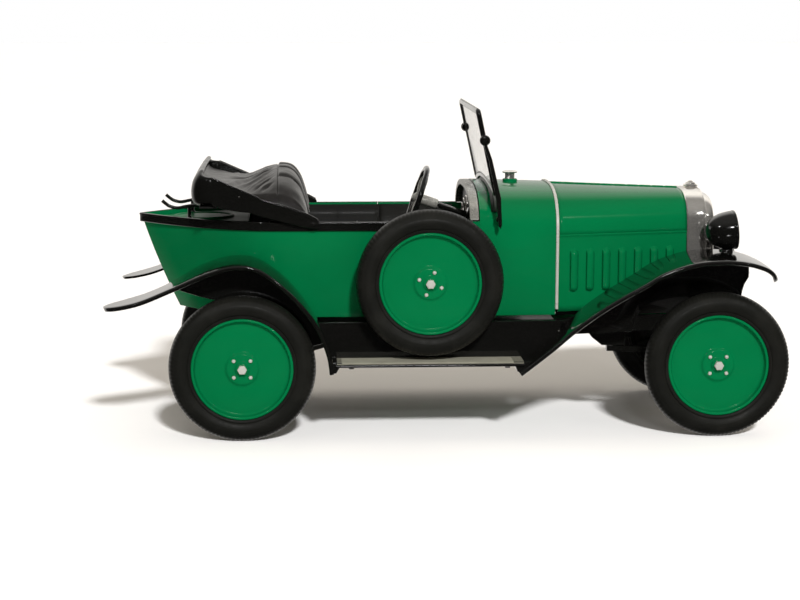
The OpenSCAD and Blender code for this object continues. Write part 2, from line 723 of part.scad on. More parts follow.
module centre_wheel() color(brass) stations() {
    gear(centre_at, centre_teeth, mesh_angles[1] + 180 + 180 / centre_teeth, centre_y,
        centre_y + wheel_thick, 0);
    gear(centre_at, pinion_teeth, mesh_angles[2], great_y - 0.8, great_y + wheel_thick + 0.5, 0);
    rod_y(centre_at[0], centre_at[1], arbor_r, -plate_y - 0.9, plate_y + 0.9);
}

click_pivot = great_at + 7.4 * [cos(120), sin(120)];
module great_wheel() color(brass) stations() {
    gear(great_at, great_teeth, mesh_angles[2] + 180 + 180 / great_teeth, great_y, great_y + wheel_thick,
        winder_r + running_gap);
    rod_y(click_pivot[0], click_pivot[1], 0.7, great_y + wheel_thick, great_y + wheel_thick + 1.6);
}

ratchet_teeth = 12;
ratchet_r = 4.6;
ratchet_y = great_y + wheel_thick + 0.4;
module winding_arbor() color(steel) stations() {
    rod_y(great_at[0], great_at[1], winder_r, -plate_y - 0.9, 36);
    across(36, 40) translate(great_at) rotate(45) square(2.1, center = true);
    across(ratchet_y, ratchet_y + 1.1) translate(great_at)
        polygon([for (i = [0:ratchet_teeth - 1], corner = [[ratchet_r, 0], [ratchet_r - 0.9, 3]])
            let (a = i * 360 / ratchet_teeth + corner[1]) corner[0] * [cos(a), sin(a)]]);
}

module click() color(steel) stations() across(ratchet_y, ratchet_y + 1) difference() {
    union() {
        translate(click_pivot) circle(1.3);
        bar(click_pivot, great_at + 5.5 * [cos(72), sin(72)], 0.9);
    }
    translate(click_pivot) circle(0.7 + running_gap);
}

key_reach = 6.2;
module winding_key() color(steel) stations() {
    across(36.2, 40.5) translate(great_at) difference() {
        circle(2.3);
        rotate(45) square(2.14, center = true);
    }
    across(40.5, 41.6) translate(great_at) difference() {
        union() {
            circle(2.3);
            for (side = [-1, 1]) translate([side * (key_reach - 2.6), 0]) circle(2.6);
        }
        for (side = [-1, 1]) translate([side * (key_reach - 2.4), 0]) circle(1.2);
    }
}

stop_pivot = [42.4, 45.4];
module stop_lever() color(steel) stations() across(-7.7, -6.9) difference() {
    union() {
        translate(stop_pivot) circle(2.2);
        bar(stop_pivot, [28.2, 38.2], 1.4);
        bar(stop_pivot, [57, 46.4], 1.6);
        bar([57, 46.4], [59.5, 58], 1.6);
        translate([59.6, 59]) circle(1.7);
    }
    translate(stop_pivot) circle(1.2 + running_gap);
}

// ---------------------------------------------------------------- folded hood

hood_pivot = [22.5, 67.9];
module hood_boot() color(black) stations() {
    both_sides() across(33.2, 34.4) polygon([[-14.3, 82.6], [-13, 83.9], [-8.1, 81.9], [1.4, 78.1],
        [6.6, 75.3], [13.3, 73.2], [20, 71.2], [24.4, 69.3], [23.4, 66.2], [13.3, 68.4], [3.8, 71.2],
        [-3.4, 73.2], [-12.4, 75.4], [-14.8, 78]]);
    both_sides() rod_y(hood_pivot[0], hood_pivot[1], 0.8, 34.4, 34.9);
    across(-33.2, 33.2) polygon([[-13.4, 72.8], [-15.4, 74.6], [-15.6, 78.5], [-14.5, 82], [-12.4, 84.6],
        [-11.6, 84], [-13.4, 81.6], [-14.4, 78.4], [-14.3, 75], [-12.8, 73.6], [4, 73.6], [4, 72.8]]);
}

// Half outline of the folded cloth: station and height in the middle, then the height at its sides
roll_top = [[-11, 80.6, 80], [-6, 80.2, 79.4], [0.6, 79.7, 77], [4.7, 81.2, 76.6], [8.1, 82.6, 76.3],
    [11.3, 83.7, 76], [15.2, 83.4, 74.6], [18.2, 80.4, 72.8], [20.2, 74.8, 71], [21, 70.2, 69.6]];
module hood_roll() color(black) stations() skin([for (i = [-8:8])
    let (y = 31.6 * i / 8, t = pow(abs(i) / 8, 3))
    concat(
        [for (p = roll_top) [p[0], y, mix(p[1], p[2], t)]],
        [[18.4, y, 70], [5, y, 74.2], [-11, y, 74.2]])]);

rest_line = smooth([[-25.7, 73.1], [-23.3, 71.4], [-20.8, 70.9], [-16.5, 71.6], [-7.5, 71.8]], 4);
rest_r = 0.55;
module hood_rests() color(black) stations() both_sides() translate([0, 10, 0]) {
    across(-rest_r, rest_r)
        polygon(concat(
            [for (p = rest_line) p + [0, rest_r]],
            [for (p = reversed(rest_line)) p - [0, rest_r]]));
    translate([-17.2, 0, deck_z]) cylinder(h = 4.2, r = 0.6);
}

chassis_frame();
body_tub();
tail_deck();
bonnet();
scuttle_strip();
radiator_shell();
radiator_core();
radiator_cap();
filler_cap();
top_rail();
cockpit_lining();
cockpit_floor();
dashboard();
dash_hoop();
front_seat();
rear_seat();
steering_column();
windscreen_arms();
front_fender_right();
front_fender_left();
rear_fender_right();
rear_fender_left();
running_boards();
tread_plates();
headlight_shells();
headlight_lenses();
spare_tyre();
spare_disc();
spare_mount();
front_axle();
leaf_springs();
hood_rests();
motor_frame();
mainspring();
rear_axle();
rear_tyres();
rear_discs();
wheel_nuts_rear();
great_wheel();
click();
centre_wheel();
third_wheel();
winding_arbor();
winding_key();
stop_lever();
stub_axle_right();
stub_axle_left();
tyre_front_right();
tyre_front_left();
disc_front_right();
disc_front_left();
wheel_nuts_front_right();
wheel_nuts_front_left();
tie_rod();
steering_wheel();
windscreen_frame();
windscreen_glass();
hood_boot();
hood_roll();
door();
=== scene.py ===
"""Looks of the tin clockwork tourer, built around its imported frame. Lengths are in millimetres unless they
say otherwise, and stations x are counted forward from the rear axle."""
import json
import math

import bmesh
import bpy
from mathutils import Matrix, Vector, noise

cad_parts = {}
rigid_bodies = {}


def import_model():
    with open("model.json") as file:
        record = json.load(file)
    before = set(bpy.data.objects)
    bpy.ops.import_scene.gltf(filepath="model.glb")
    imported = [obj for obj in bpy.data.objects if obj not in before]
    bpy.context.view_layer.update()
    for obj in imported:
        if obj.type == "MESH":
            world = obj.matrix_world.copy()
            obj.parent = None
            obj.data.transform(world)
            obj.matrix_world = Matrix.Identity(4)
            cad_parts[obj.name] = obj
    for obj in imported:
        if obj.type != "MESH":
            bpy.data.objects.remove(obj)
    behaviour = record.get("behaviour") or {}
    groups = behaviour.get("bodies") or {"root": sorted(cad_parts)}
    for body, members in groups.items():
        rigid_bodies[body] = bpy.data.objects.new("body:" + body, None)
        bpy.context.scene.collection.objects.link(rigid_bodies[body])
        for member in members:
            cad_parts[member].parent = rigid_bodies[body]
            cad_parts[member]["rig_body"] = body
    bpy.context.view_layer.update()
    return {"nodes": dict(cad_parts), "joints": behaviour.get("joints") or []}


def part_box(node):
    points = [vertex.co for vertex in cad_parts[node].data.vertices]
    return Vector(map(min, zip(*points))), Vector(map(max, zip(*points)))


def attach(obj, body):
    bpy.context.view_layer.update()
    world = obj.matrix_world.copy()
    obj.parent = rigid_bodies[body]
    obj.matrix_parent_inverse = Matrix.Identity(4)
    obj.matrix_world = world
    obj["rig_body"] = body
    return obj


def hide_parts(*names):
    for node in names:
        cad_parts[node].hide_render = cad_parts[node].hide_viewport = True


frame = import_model()
scene = bpy.context.scene


# ------------------------------------------------------------------ places

MM = 0.001
rear_low, rear_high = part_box("rear_tyres")
ORIGIN = Vector(((rear_low.x + rear_high.x) / 2, 0, 0))


def at(x, y, z):
    """A place given by its station, in the frame's metres."""
    return ORIGIN + Vector((x, y, z)) * MM


def node_box(node):
    """Lowest and highest corner of a node, in stations and millimetres."""
    low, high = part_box(node)
    return (low - ORIGIN) / MM, (high - ORIGIN) / MM


def node_centre(node):
    low, high = node_box(node)
    return tuple((low + high) / 2)


def node_foot(node):
    """The middle of a node's underside, on the car's centre line."""
    low, high = node_box(node)
    return (low.x + high.x) / 2, 0, low.z


def mix(a, b, t):
    return a + (b - a) * t


def clamp(t, low=0.0, high=1.0):
    return min(max(t, low), high)


def ease(t):
    u = clamp(t)
    return u * u * (3 - 2 * u)


def smooth_line(points, steps):
    """A smooth curve through points of any dimension, with steps pieces between neighbours."""
    last = len(points) - 1
    line = []
    for i in range(last):
        a, b, c, d = (Vector(points[clamp(i + k, 0, last)]) for k in (-1, 0, 1, 2))
        for j in range(steps):
            t = j / steps
            line.append(0.5 * (2 * b + (c - a) * t + (2 * a - 5 * b + 4 * c - d) * t * t
                               + (3 * b - a - 3 * c + d) * t * t * t))
    line.append(Vector(points[last]))
    return line


# ------------------------------------------------------------------ materials


def material(name, metallic=0.0, coat=0.0, specular=0.5, ior=1.5):
    """A node material and its shader, with the constant values set on the shader's own sockets."""
    made = bpy.data.materials.new(name)
    made.use_nodes = True
    shader = made.node_tree.nodes["Principled BSDF"]
    shader.inputs["Metallic"].default_value = metallic
    shader.inputs["Coat Weight"].default_value = coat
    shader.inputs["Coat Roughness"].default_value = 0.05
    shader.inputs["Specular IOR Level"].default_value = specular
    shader.inputs["IOR"].default_value = ior
    return made, shader


def add(made, kind, **values):
    node = made.node_tree.nodes.new(kind)
    for key, value in values.items():
        if key in node.inputs:
            node.inputs[key].default_value = value
        else:
            setattr(node, key, value)
    return node


def link(made, source, target):
    made.node_tree.links.new(source, target)


def stretched(made, stretch):
    """Object coordinates, stretched by a factor along each axis."""
    coordinates = add(made, "ShaderNodeTexCoord")
    mapping = add(made, "ShaderNodeMapping")
    mapping.inputs["Scale"].default_value = stretch
    link(made, coordinates.outputs["Object"], mapping.inputs["Vector"])
    return mapping.outputs["Vector"]


def noise_map(made, size, detail=4.0, stretch=(1, 1, 1)):
    """Noise whose blobs are about size millimetres across."""
    texture = add(made, "ShaderNodeTexNoise", Scale=1 / (size * MM), Detail=detail, Roughness=0.55)
    link(made, stretched(made, stretch), texture.inputs["Vector"])
    return texture.outputs["Fac"]


def between(made, source, low, high, start=0.3, end=0.7):
    """Maps a value onto low to high, with a smooth step from start to end."""
    ramp = add(made, "ShaderNodeMapRange")
    ramp.interpolation_type = "SMOOTHSTEP"
    for socket, value in (("From Min", start), ("From Max", end), ("To Min", low), ("To Max", high)):
        ramp.inputs[socket].default_value = value
    link(made, source, ramp.inputs["Value"])
    return ramp.outputs["Result"]


def blend_colours(made, factor, first, second):
    node = add(made, "ShaderNodeMix", data_type="RGBA")
    link(made, factor, node.inputs["Factor"])
    for socket, colour in (("A", first), ("B", second)):
        target = [i for i in node.inputs if i.name == socket and i.type == "RGBA"][0]
        if isinstance(colour, tuple):
            target.default_value = (*colour, 1)
        else:
            link(made, colour, target)
    return [o for o in node.outputs if o.type == "RGBA"][0]


def bump(made, shader, source, depth, strength=1.0):
    """Adds relief of about depth millimetres under what the shader already has."""
    node = add(made, "ShaderNodeBump", Strength=strength, Distance=depth * MM)
    link(made, source, node.inputs["Height"])
    before = shader.inputs["Normal"].links
    if before:
        link(made, before[0].from_socket, node.inputs["Normal"])
    link(made, node.outputs["Normal"], shader.inputs["Normal"])


def enamel(name, colour, deep, gloss, coat, shine=0.4):
    """Stoved enamel on tinplate: even colour, faint orange peel, wiping marks and settled dust."""
    made, shader = material(name, coat=coat, specular=shine)
    clouds = between(made, noise_map(made, 26), 0, 1)
    dust = between(made, noise_map(made, 1.1, 6), 0, 0.1, 0.55, 0.8)
    paint = blend_colours(made, clouds, deep, colour)
    pale = tuple(c * 0.9 + 0.012 for c in colour)
    link(made, blend_colours(made, dust, paint, pale), shader.inputs["Base Color"])
    wiped = noise_map(made, 7, 5, (0.35, 1, 1.6))
    link(made, between(made, wiped, gloss, gloss + 0.07), shader.inputs["Roughness"])
    bump(made, shader, noise_map(made, 1.3, 2), 0.012, 0.35)
    return made


def metal(name, colour, dull, rough, brushed=(1, 1, 1), grain=0.6, bare=1.0):
    """Bare metal, or silver paint where bare is below 1, with fine scratches and dull patches."""
    made, shader = material(name, metallic=bare)
    patches = between(made, noise_map(made, 6, 5), 0, 1)
    link(made, blend_colours(made, patches, dull, colour), shader.inputs["Base Color"])
    scratches = noise_map(made, grain, 6, brushed)
    link(made, between(made, scratches, rough, rough + 0.16), shader.inputs["Roughness"])
    bump(made, shader, scratches, 0.01, 0.4)
    return made


def rubber():
    made, shader = material("tyre_rubber", specular=0.35)
    dust = between(made, noise_map(made, 9, 8), 0, 1, 0.4, 0.8)
    link(made, blend_colours(made, dust, (0.0055, 0.0056, 0.0046), (0.009, 0.0088, 0.0072)),
         shader.inputs["Base Color"])
    link(made, between(made, noise_map(made, 1.5, 6), 0.34, 0.5), shader.inputs["Roughness"])
    bump(made, shader, noise_map(made, 0.35, 4), 0.03, 0.4)
    return made


def grained(name, colour, light, rough, cell, depth):
    """Leather or coated cloth: pebbled grain, with lighter worn patches at random."""
    made, shader = material(name, coat=0.15, specular=0.55)
    shader.inputs["Coat Roughness"].default_value = 0.3
    cells = add(made, "ShaderNodeTexVoronoi", feature="DISTANCE_TO_EDGE", Scale=1 / (cell * MM))
    wobble = noise_map(made, 2.5, 3)
    link(made, stretched(made, (1, 1, 1)), cells.inputs["Vector"])
    tops = between(made, cells.outputs["Distance"], 0, 1, 0.02, 0.22)
    worn = between(made, wobble, 0, 1, 0.4, 0.75)
    link(made, blend_colours(made, worn, colour, light), shader.inputs["Base Color"])
    link(made, between(made, noise_map(made, 4, 5), rough, rough + 0.14), shader.inputs["Roughness"])
    bump(made, shader, tops, depth, 0.55)
    bump(made, shader, noise_map(made, 0.25, 3), depth * 0.4, 0.3)
    return made


def clear(name, colour, rough, ior):
    made, shader = material(name, ior=ior)
    shader.inputs["Transmission Weight"].default_value = 1.0
    smears = between(made, noise_map(made, 9, 5), rough, rough + 0.05)
    link(made, smears, shader.inputs["Roughness"])
    tint = between(made, noise_map(made, 14, 3), 0, 1)
    shade = tuple(c * 0.97 for c in colour)
    link(made, blend_colours(made, tint, shade, colour), shader.inputs["Base Color"])
    return made


def printed(name, colour, deep):
    """Printed dial face."""
    made, shader = material(name)
    link(made, blend_colours(made, between(made, noise_map(made, 2, 5), 0, 1), deep, colour),
         shader.inputs["Base Color"])
    link(made, between(made, noise_map(made, 0.8, 3), 0.3, 0.42), shader.inputs["Roughness"])
    return made


# Each paint's colour and its deeper shade
GREEN_PAINT = ((0.0005, 0.104, 0.0325), (0.0004, 0.094, 0.029))
BLACK_PAINT = ((0.0034, 0.0034, 0.003), (0.0026, 0.0026, 0.0023))

GREEN = enamel("green_enamel", *GREEN_PAINT, 0.09, 0.05, 0.17)
DECK_GREEN = enamel("green_deck_enamel", *GREEN_PAINT, 0.3, 0.0, 0.06)
BLACK = enamel("black_enamel", *BLACK_PAINT, 0.08, 0.9, 0.5)
HOOD_BLACK = enamel("black_hood_frame", *BLACK_PAINT, 0.16, 0.1, 0.3)
SATIN_BLACK = enamel("black_enamel_inside", (0.0065, 0.0065, 0.0055), (0.005, 0.005, 0.0045), 0.34, 0.05)
RUBBER = rubber()
NICKEL = metal("nickel_plate", (0.93, 0.9, 0.85), (0.85, 0.82, 0.77), 0.05, bare=0.93)
STEEL = metal("satin_steel", (0.5, 0.49, 0.46), (0.41, 0.4, 0.37), 0.32, (0.12, 1, 1))
SILVER = metal("silver_lacquer", (0.47, 0.46, 0.42), (0.44, 0.43, 0.395), 0.24, (1, 1, 1), 2.0, 0.35)
DULL_SILVER = metal("hoop_lacquer", (0.26, 0.255, 0.23), (0.22, 0.215, 0.195), 0.2, (1, 1, 1), 2.0, 0.5)
PLATE = metal("dull_plate", (0.27, 0.262, 0.206), (0.22, 0.212, 0.168), 0.36, (0.12, 1, 1), 0.6, 0.4)
DARK_STEEL = metal("spring_steel", (0.22, 0.22, 0.23), (0.14, 0.14, 0.15), 0.26, (0.3, 1, 0.3))
BRASS = metal("brass", (0.78, 0.55, 0.2), (0.62, 0.41, 0.14), 0.2, (1, 0.4, 1))
LEATHER = grained("leather", (0.012, 0.011, 0.010), (0.024, 0.022, 0.020), 0.36, 0.7, 0.05)
HOOD_CLOTH = grained("coated_cloth", (0.0075, 0.0068, 0.0064), (0.0115, 0.0103, 0.0098), 0.27, 0.32, 0.012)
LAMP_GLASS = clear("lamp_glass", (0.97, 0.99, 0.99), 0.02, 1.45)
SCREEN_GLASS = clear("screen_glass", (0.93, 0.925, 0.915), 0.0, 1.1)
DIAL = printed("dial_face", (0.62, 0.6, 0.52), (0.55, 0.53, 0.46))

# The CAD's material slot that each finish stands for; the dials have none
SLOTS = {
    "green_enamel": (GREEN, DECK_GREEN),
    "black_enamel": (BLACK, HOOD_BLACK, SATIN_BLACK),
    "tyre_rubber": (RUBBER,),
    "nickel": (NICKEL, SILVER),
    "satin_steel": (STEEL, DULL_SILVER, PLATE, DARK_STEEL),
    "brass": (BRASS,),
    "leather": (LEATHER, HOOD_CLOTH),
    "lamp_glass": (LAMP_GLASS,),
}
SIDES = ((1, "left"), (-1, "right"))


# ------------------------------------------------------------------ making pieces


def shared(node, side):
    """The left piece of a pair stands for the node that the CAD has for both."""
    return [node] if side > 0 else ()


def finish_mesh(mesh, sharp):
    work = bmesh.new()
    work.from_mesh(mesh)
    bmesh.ops.remove_doubles(work, verts=work.verts, dist=0.002 * MM)
    bmesh.ops.dissolve_degenerate(work, edges=work.edges, dist=0.001 * MM)
    bmesh.ops.recalc_face_normals(work, faces=work.faces)
    work.to_mesh(mesh)
    work.free()
    mesh.shade_smooth()
    mesh.set_sharp_from_angle(angle=math.radians(sharp))


def add_object(name, mesh, finish, replaced, body, slot=None):
    """An object on a body, which replaces CAD nodes; the slot argument is not used."""
    made = bpy.data.objects.new(name, mesh)
    scene.collection.objects.link(made)
    mesh.materials.append(finish)
    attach(made, body)
    slot = slot or next((key for key, finishes in SLOTS.items() if finish in finishes), None)
    if replaced:
        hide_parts(*replaced)
    return made


def piece(name, verts, faces, finish, replaced=(), sharp=38, body="chassis", slot=None):
    """A piece from points in stations."""
    mesh = bpy.data.meshes.new(name)
    mesh.from_pydata([at(*v) for v in verts], [], faces)
    finish_mesh(mesh, sharp)
    return add_object(name, mesh, finish, replaced, body, slot)


def bevelled(made, width, segments=2, angle=38):
    """Rounds a piece's edges, in millimetres."""
    edge = made.modifiers.new("edges", "BEVEL")
    edge.width = width * MM
    edge.segments = segments
    edge.limit_method = "ANGLE"
    edge.angle_limit = math.radians(angle)
    edge.harden_normals = True
    return made


def thickened(made, thickness, offset=-1.0):
    sheet = made.modifiers.new("sheet", "SOLIDIFY")
    sheet.thickness = thickness * MM
    sheet.offset = offset
    return made


def grid_faces(rows, columns, closed=False):
    """Quads over a grid of points; closed joins the last column to the first."""
    faces = []
    for i in range(rows - 1):
        for j in range(columns if closed else columns - 1):
            k = (j + 1) % columns
            faces.append((i * columns + j, i * columns + k, (i + 1) * columns + k, (i + 1) * columns + j))
    return faces


def skin(rings, closed=False, caps=False):
    """Verts and faces of a skin over rows of points that all have the same number of points."""
    columns = len(rings[0])
    verts = [p for ring in rings for p in ring]
    faces = grid_faces(len(rings), columns, closed)
    if caps:
        faces.append(tuple(range(columns)))
        faces.append(tuple(range(len(verts) - columns, len(verts))))
    return verts, faces


def lofted(name, rings, finish, replaced=(), sharp=38, body="chassis", closed=False, caps=False):
    return piece(name, *skin(rings, closed, caps), finish, replaced, sharp, body)


def joined(*parts):
    """Puts several pairs of verts and faces into one pair."""
    verts = []
    faces = []
    for part_verts, part_faces in parts:
        start = len(verts)
        verts += part_verts
        faces += [tuple(start + i for i in face) for face in part_faces]
    return verts, faces


def turned(profile, place, axis, segments=96, across=None):
    """Verts and faces of a profile of (radius, height) turned about axis through place."""
    axis = Vector(axis).normalized()
    side = Vector(across) if across else axis.orthogonal().normalized()
    other = axis.cross(side)
    verts = []
    for i in range(segments):
        angle = math.tau * i / segments
        out = side * math.cos(angle) + other * math.sin(angle)
        verts += [Vector(place) + out * r + axis * h for r, h in profile]
    count = len(profile)
    faces = []
    for i in range(segments):
        k = (i + 1) % segments
        for j in range(count - 1):
            faces.append((i * count + j, k * count + j, k * count + j + 1, i * count + j + 1))
    return verts, faces


def directions(points):
    """The way along a line at each of its points."""
    points = [Vector(p) for p in points]
    last = len(points) - 1
    return [(points[min(i + 1, last)] - points[max(i - 1, 0)]).normalized() for i in range(last + 1)]


def arc(centre, radius, start, end, step):
    """Points about centre at whole degrees; radius is a number, or one number across and one up."""
    wide, high = radius if isinstance(radius, tuple) else (radius, radius)
    angles = [math.radians(degrees) for degrees in range(start, end, step)]
    return [(centre[0] + wide * math.cos(a), centre[1] + high * math.sin(a)) for a in angles]


def tube(points, radius, sides=16, capped=True):
    """Verts and faces of a round rod along points; radius is a number or one number for each point."""
    radii = radius if isinstance(radius, list) else [radius] * len(points)
    side = None
    rings = []
    for p, way, r in zip(points, directions(points), radii):
        side = (way.orthogonal() if side is None else side - way * side.dot(way)).normalized()
        other = way.cross(side)
        angles = [math.tau * j / sides for j in range(sides)]
        rings.append([Vector(p) + (side * math.cos(a) + other * math.sin(a)) * r for a in angles])
    return skin(rings, closed=True, caps=capped)


def refined(node, finish, edge):
    """The shape of a CAD node with rounded edges, which takes the node's place."""
    source = frame["nodes"][node]
    mesh = bpy.data.meshes.new(node + "_finished")
    mesh.from_pydata([v.co.copy() for v in source.data.vertices], [],
                     [tuple(p.vertices) for p in source.data.polygons])
    work = bmesh.new()
    work.from_mesh(mesh)
    bmesh.ops.remove_doubles(work, verts=work.verts, dist=0.003 * MM)
    bmesh.ops.dissolve_limit(work, angle_limit=math.radians(0.8), verts=work.verts, edges=work.edges)
    bmesh.ops.recalc_face_normals(work, faces=work.faces)
    work.to_mesh(mesh)
    work.free()
    mesh.shade_smooth()
    mesh.set_sharp_from_angle(angle=math.radians(32))
    made = add_object(mesh.name, mesh, finish, [node], source["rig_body"])
    bevelled(made, edge, 2, 34)


# ------------------------------------------------------------------ body

WALL = 0.8
CREASE_Z = 63.5
STRIP_X = node_box("scuttle_strip")[0].x
NOSE_X = node_box("radiator_shell")[0].x
DASH_X = node_box("dash_hoop")[1].x + 0.2
SILL_Z = node_box("body_tub")[0].z
RAIL_Z = node_box("top_rail")[1].z - 0.2
RAIL_DROP = RAIL_Z - node_box("top_rail")[0].z
STERN_X = node_box("body_tub")[0].x
BODY_HALF = node_box("top_rail")[1].y - 0.5
MIDSHIP_X = 14
MIDSHIP_END = 44
STERN_POWER = 1.85
AFT_STEPS = 46

# Levels of the body: height, station of the stern, half width amidships, half width at the dash
LEVELS = [(RAIL_Z, STERN_X, BODY_HALF, 31.4), (54, -28.4, 30.6, 30.5), (SILL_Z, -21.2, 28, 27.9)]

# Sections of scuttle and bonnet: station, half width at the crease, rise above it, lean of the sides
DASH = (DASH_X, 31.3, 15, 3.4)
STRIP = (STRIP_X, 28, 14.3, 0.8)
BONNET_BACK = (STRIP_X + 0.9, 27.75, 14.15, 0.8)
NOSE = (NOSE_X, 17.5, 12.4, 0.8)
ARCH_POWER = 2.7


def level_at(z):
    """Stern station and half widths of the body at a height, on a smooth curve through the three levels."""
    heights = [level[0] for level in LEVELS]
    values = []
    for k in (1, 2, 3):
        total = 0
        for i, level in enumerate(LEVELS):
            weight = 1
            for j, other in enumerate(heights):
                if j != i:
                    weight *= (z - other) / (heights[i] - other)
            total += weight * level[k]
        values.append(total)
    return values


def tub_half(x, z):
    stern, half, dash = level_at(z)
    if x < MIDSHIP_X:
        return half * (1 - ((MIDSHIP_X - x) / (MIDSHIP_X - stern)) ** STERN_POWER)
    return mix(half, dash, clamp((x - MIDSHIP_END) / (DASH_X - MIDSHIP_END)))


def aft_stations(z):
    """Stations from the stern to amidships at a height, close together where the plan curves most."""
    stern = level_at(z)[0]
    return [mix(stern, MIDSHIP_X, (i / AFT_STEPS) ** 1.25) for i in range(AFT_STEPS)]


def plan_row(stations, z):
    """Points of the plan at a height, from the left front corner round the stern to the right one."""
    half = [(x, max(tub_half(x, z), 0)) for x in stations]
    return [(x, y, z) for x, y in reversed(half)] + [(x, -y, z) for x, y in half[1:]]


def arch_point(a, b, t):
    """Distance across and height of a place on the arch over the crease; t runs from left to right."""
    c, s = math.cos(t), math.sin(t)
    return a * math.copysign(abs(c) ** (2 / ARCH_POWER), c), CREASE_Z + b * abs(s) ** (2 / ARCH_POWER)


def arch_share(t):
    """How much of its full height the arch keeps at a share t of its half width."""
    return (1 - abs(t) ** ARCH_POWER) ** (1 / ARCH_POWER)


def section_points(section, steps=28, lift=0.0):
    """One section of scuttle or bonnet, from its bottom left over the top to its bottom right."""
    x, a, b, tuck = section
    side = [(x, a - tuck * (1 - k / 10), mix(SILL_Z + lift, CREASE_Z, k / 10)) for k in range(10)]
    top = [(x, *arch_point(a, b, math.pi * i / steps)) for i in range(steps + 1)]
    return side + top + [(px, -py, pz) for px, py, pz in reversed(side)]


def section_between(first, second, t):
    return tuple(mix(a, b, t) for a, b in zip(first, second))


DOOR_LOW, DOOR_HIGH = node_box("door")
DOOR_X = (DOOR_LOW.x, DOOR_LOW.x + 20.3)
DOOR_Z = DOOR_LOW.z


def in_door(x, y, z, grow=0.0):
    return y > 20 and DOOR_X[0] - grow < x < DOOR_X[1] + grow and z > DOOR_Z - grow


def side_skin(door):
    """The sheet of the body's sides, or the door's, as a grid that has rows exactly on the door's edges."""
    gap = 0.35
    low_rows = [mix(SILL_Z, DOOR_Z - gap, k / 4) for k in range(5)]
    high_rows = [mix(DOOR_Z, RAIL_Z, k / 9) for k in range(10)]
    cuts = [DOOR_X[0] - gap, DOOR_X[0], DOOR_X[1], DOOR_X[1] + gap]
    ahead = sorted([mix(MIDSHIP_X, DASH_X, i / 16) for i in range(17)] + cuts)
    rows = [plan_row(aft_stations(z) + ahead, z) for z in low_rows + high_rows]
    columns = len(rows[0])
    verts = [p for row in rows for p in row]
    faces = []
    for face in grid_faces(len(rows), columns):
        centre = sum((Vector(verts[i]) for i in face), Vector()) / 4
        if in_door(*centre) if door else not in_door(*centre, grow=gap):
            faces.append(face)
    used = sorted({i for face in faces for i in face})
    place = {old: new for new, old in enumerate(used)}
    return [verts[i] for i in used], [tuple(place[i] for i in face) for face in faces]


def make_body():
    verts, faces = side_skin(door=False)
    made = piece("body_sides", verts, faces, GREEN, ["body_tub"])
    thickened(made, WALL)
    bevelled(made, 0.18, 3, 50)

    rows = []
    for k in range(15):
        t = k / 14
        x = mix(DASH_X, STRIP_X, t)
        row = []
        for y, z in [p[1:] for p in section_points(section_between(DASH, STRIP, t))]:
            if z < CREASE_Z:
                y = mix(math.copysign(tub_half(DASH_X, z), y), y, ease(t * 1.1))
            row.append((x, y, z))
        rows.append(row)
    made = lofted("scuttle", rows, GREEN)
    thickened(made, WALL)
    bevelled(made, 0.15, 3, 50)

    verts, faces = [], []
    cut_low, cut_high = node_box("motor_frame")
    edges = sorted([mix(-21.2, STRIP_X, i / 30) for i in range(31)] + [cut_low.x - 2, cut_high.x + 1])
    for x in edges:
        half = tub_half(min(x, DASH_X), SILL_Z)
        if x > DASH_X:
            half = mix(half, STRIP[1] - STRIP[3], (x - DASH_X) / (STRIP_X - DASH_X))
        slot_half = min(10, half)
        verts += [(x, y, SILL_Z + 0.02) for y in (-half, -slot_half, slot_half, half)]
    for i in range(len(edges) - 1):
        for j in range(3):
            if j == 1 and cut_low.x - 2.1 < edges[i] < cut_high.x + 0.5:
                continue
            faces.append((4 * i + j, 4 * i + j + 1, 4 * i + j + 5, 4 * i + j + 4))
    made = piece("body_underside", verts, faces, GREEN)
    thickened(made, WALL, 1.0)
    bevelled(made, 0.12)


def rail_rings(points):
    """Rings of the black rail along a plan outline."""
    rings = []
    for p, way in zip(points, directions(points)):
        out = Vector((-way.y, way.x))
        if abs(p[1]) <= 0.1:
            out = Vector((-1, 0))
        elif out.y * p[1] < 0:
            out = -out
        rings.append([(p[0] + out.x * d, p[1] + out.y * d, z) for d, z in rail_profile()])
    return rings


def rail_profile():
    """Distance outwards and height: a flat band with a half-round bead on top."""
    low = RAIL_Z - RAIL_DROP
    bead = arc((0.2, RAIL_Z - 0.12), 0.42, -20, 201, 22)
    band = [(-0.05, low), (0.3, low), (0.44, low + 0.16), (0.44, RAIL_Z - 0.6)]
    return band + bead + [(-0.15, RAIL_Z - 0.4)]


RAIL_GAP = 0.12
LINING_DROP = 0.45
HANDLE_Z = 61
HINGE_Z = 67


def make_rail():
    """The rail round the top edge, in two stretches that leave the door's opening."""
    front = DASH_X - 2.4
    stations = aft_stations(RAIL_Z) + [mix(MIDSHIP_X, front, i / 24) for i in range(25)]
    line = [p[:2] for p in plan_row(stations, RAIL_Z)]
    left_front = [p for p in line if p[1] > 20 and p[0] > DOOR_X[1] + RAIL_GAP]
    left_front.append((DOOR_X[1] + RAIL_GAP, tub_half(DOOR_X[1] + RAIL_GAP, RAIL_Z)))
    rest = [p for p in line if not (p[1] > 20 and p[0] > DOOR_X[0] - RAIL_GAP)]
    rest.insert(0, (DOOR_X[0] - RAIL_GAP, tub_half(DOOR_X[0] - RAIL_GAP, RAIL_Z)))
    stretches = [skin(rail_rings(line), closed=True, caps=True) for line in (left_front, rest)]
    verts, faces = joined(*stretches)
    piece("top_rail_bead", verts, faces, BLACK, ["top_rail"])


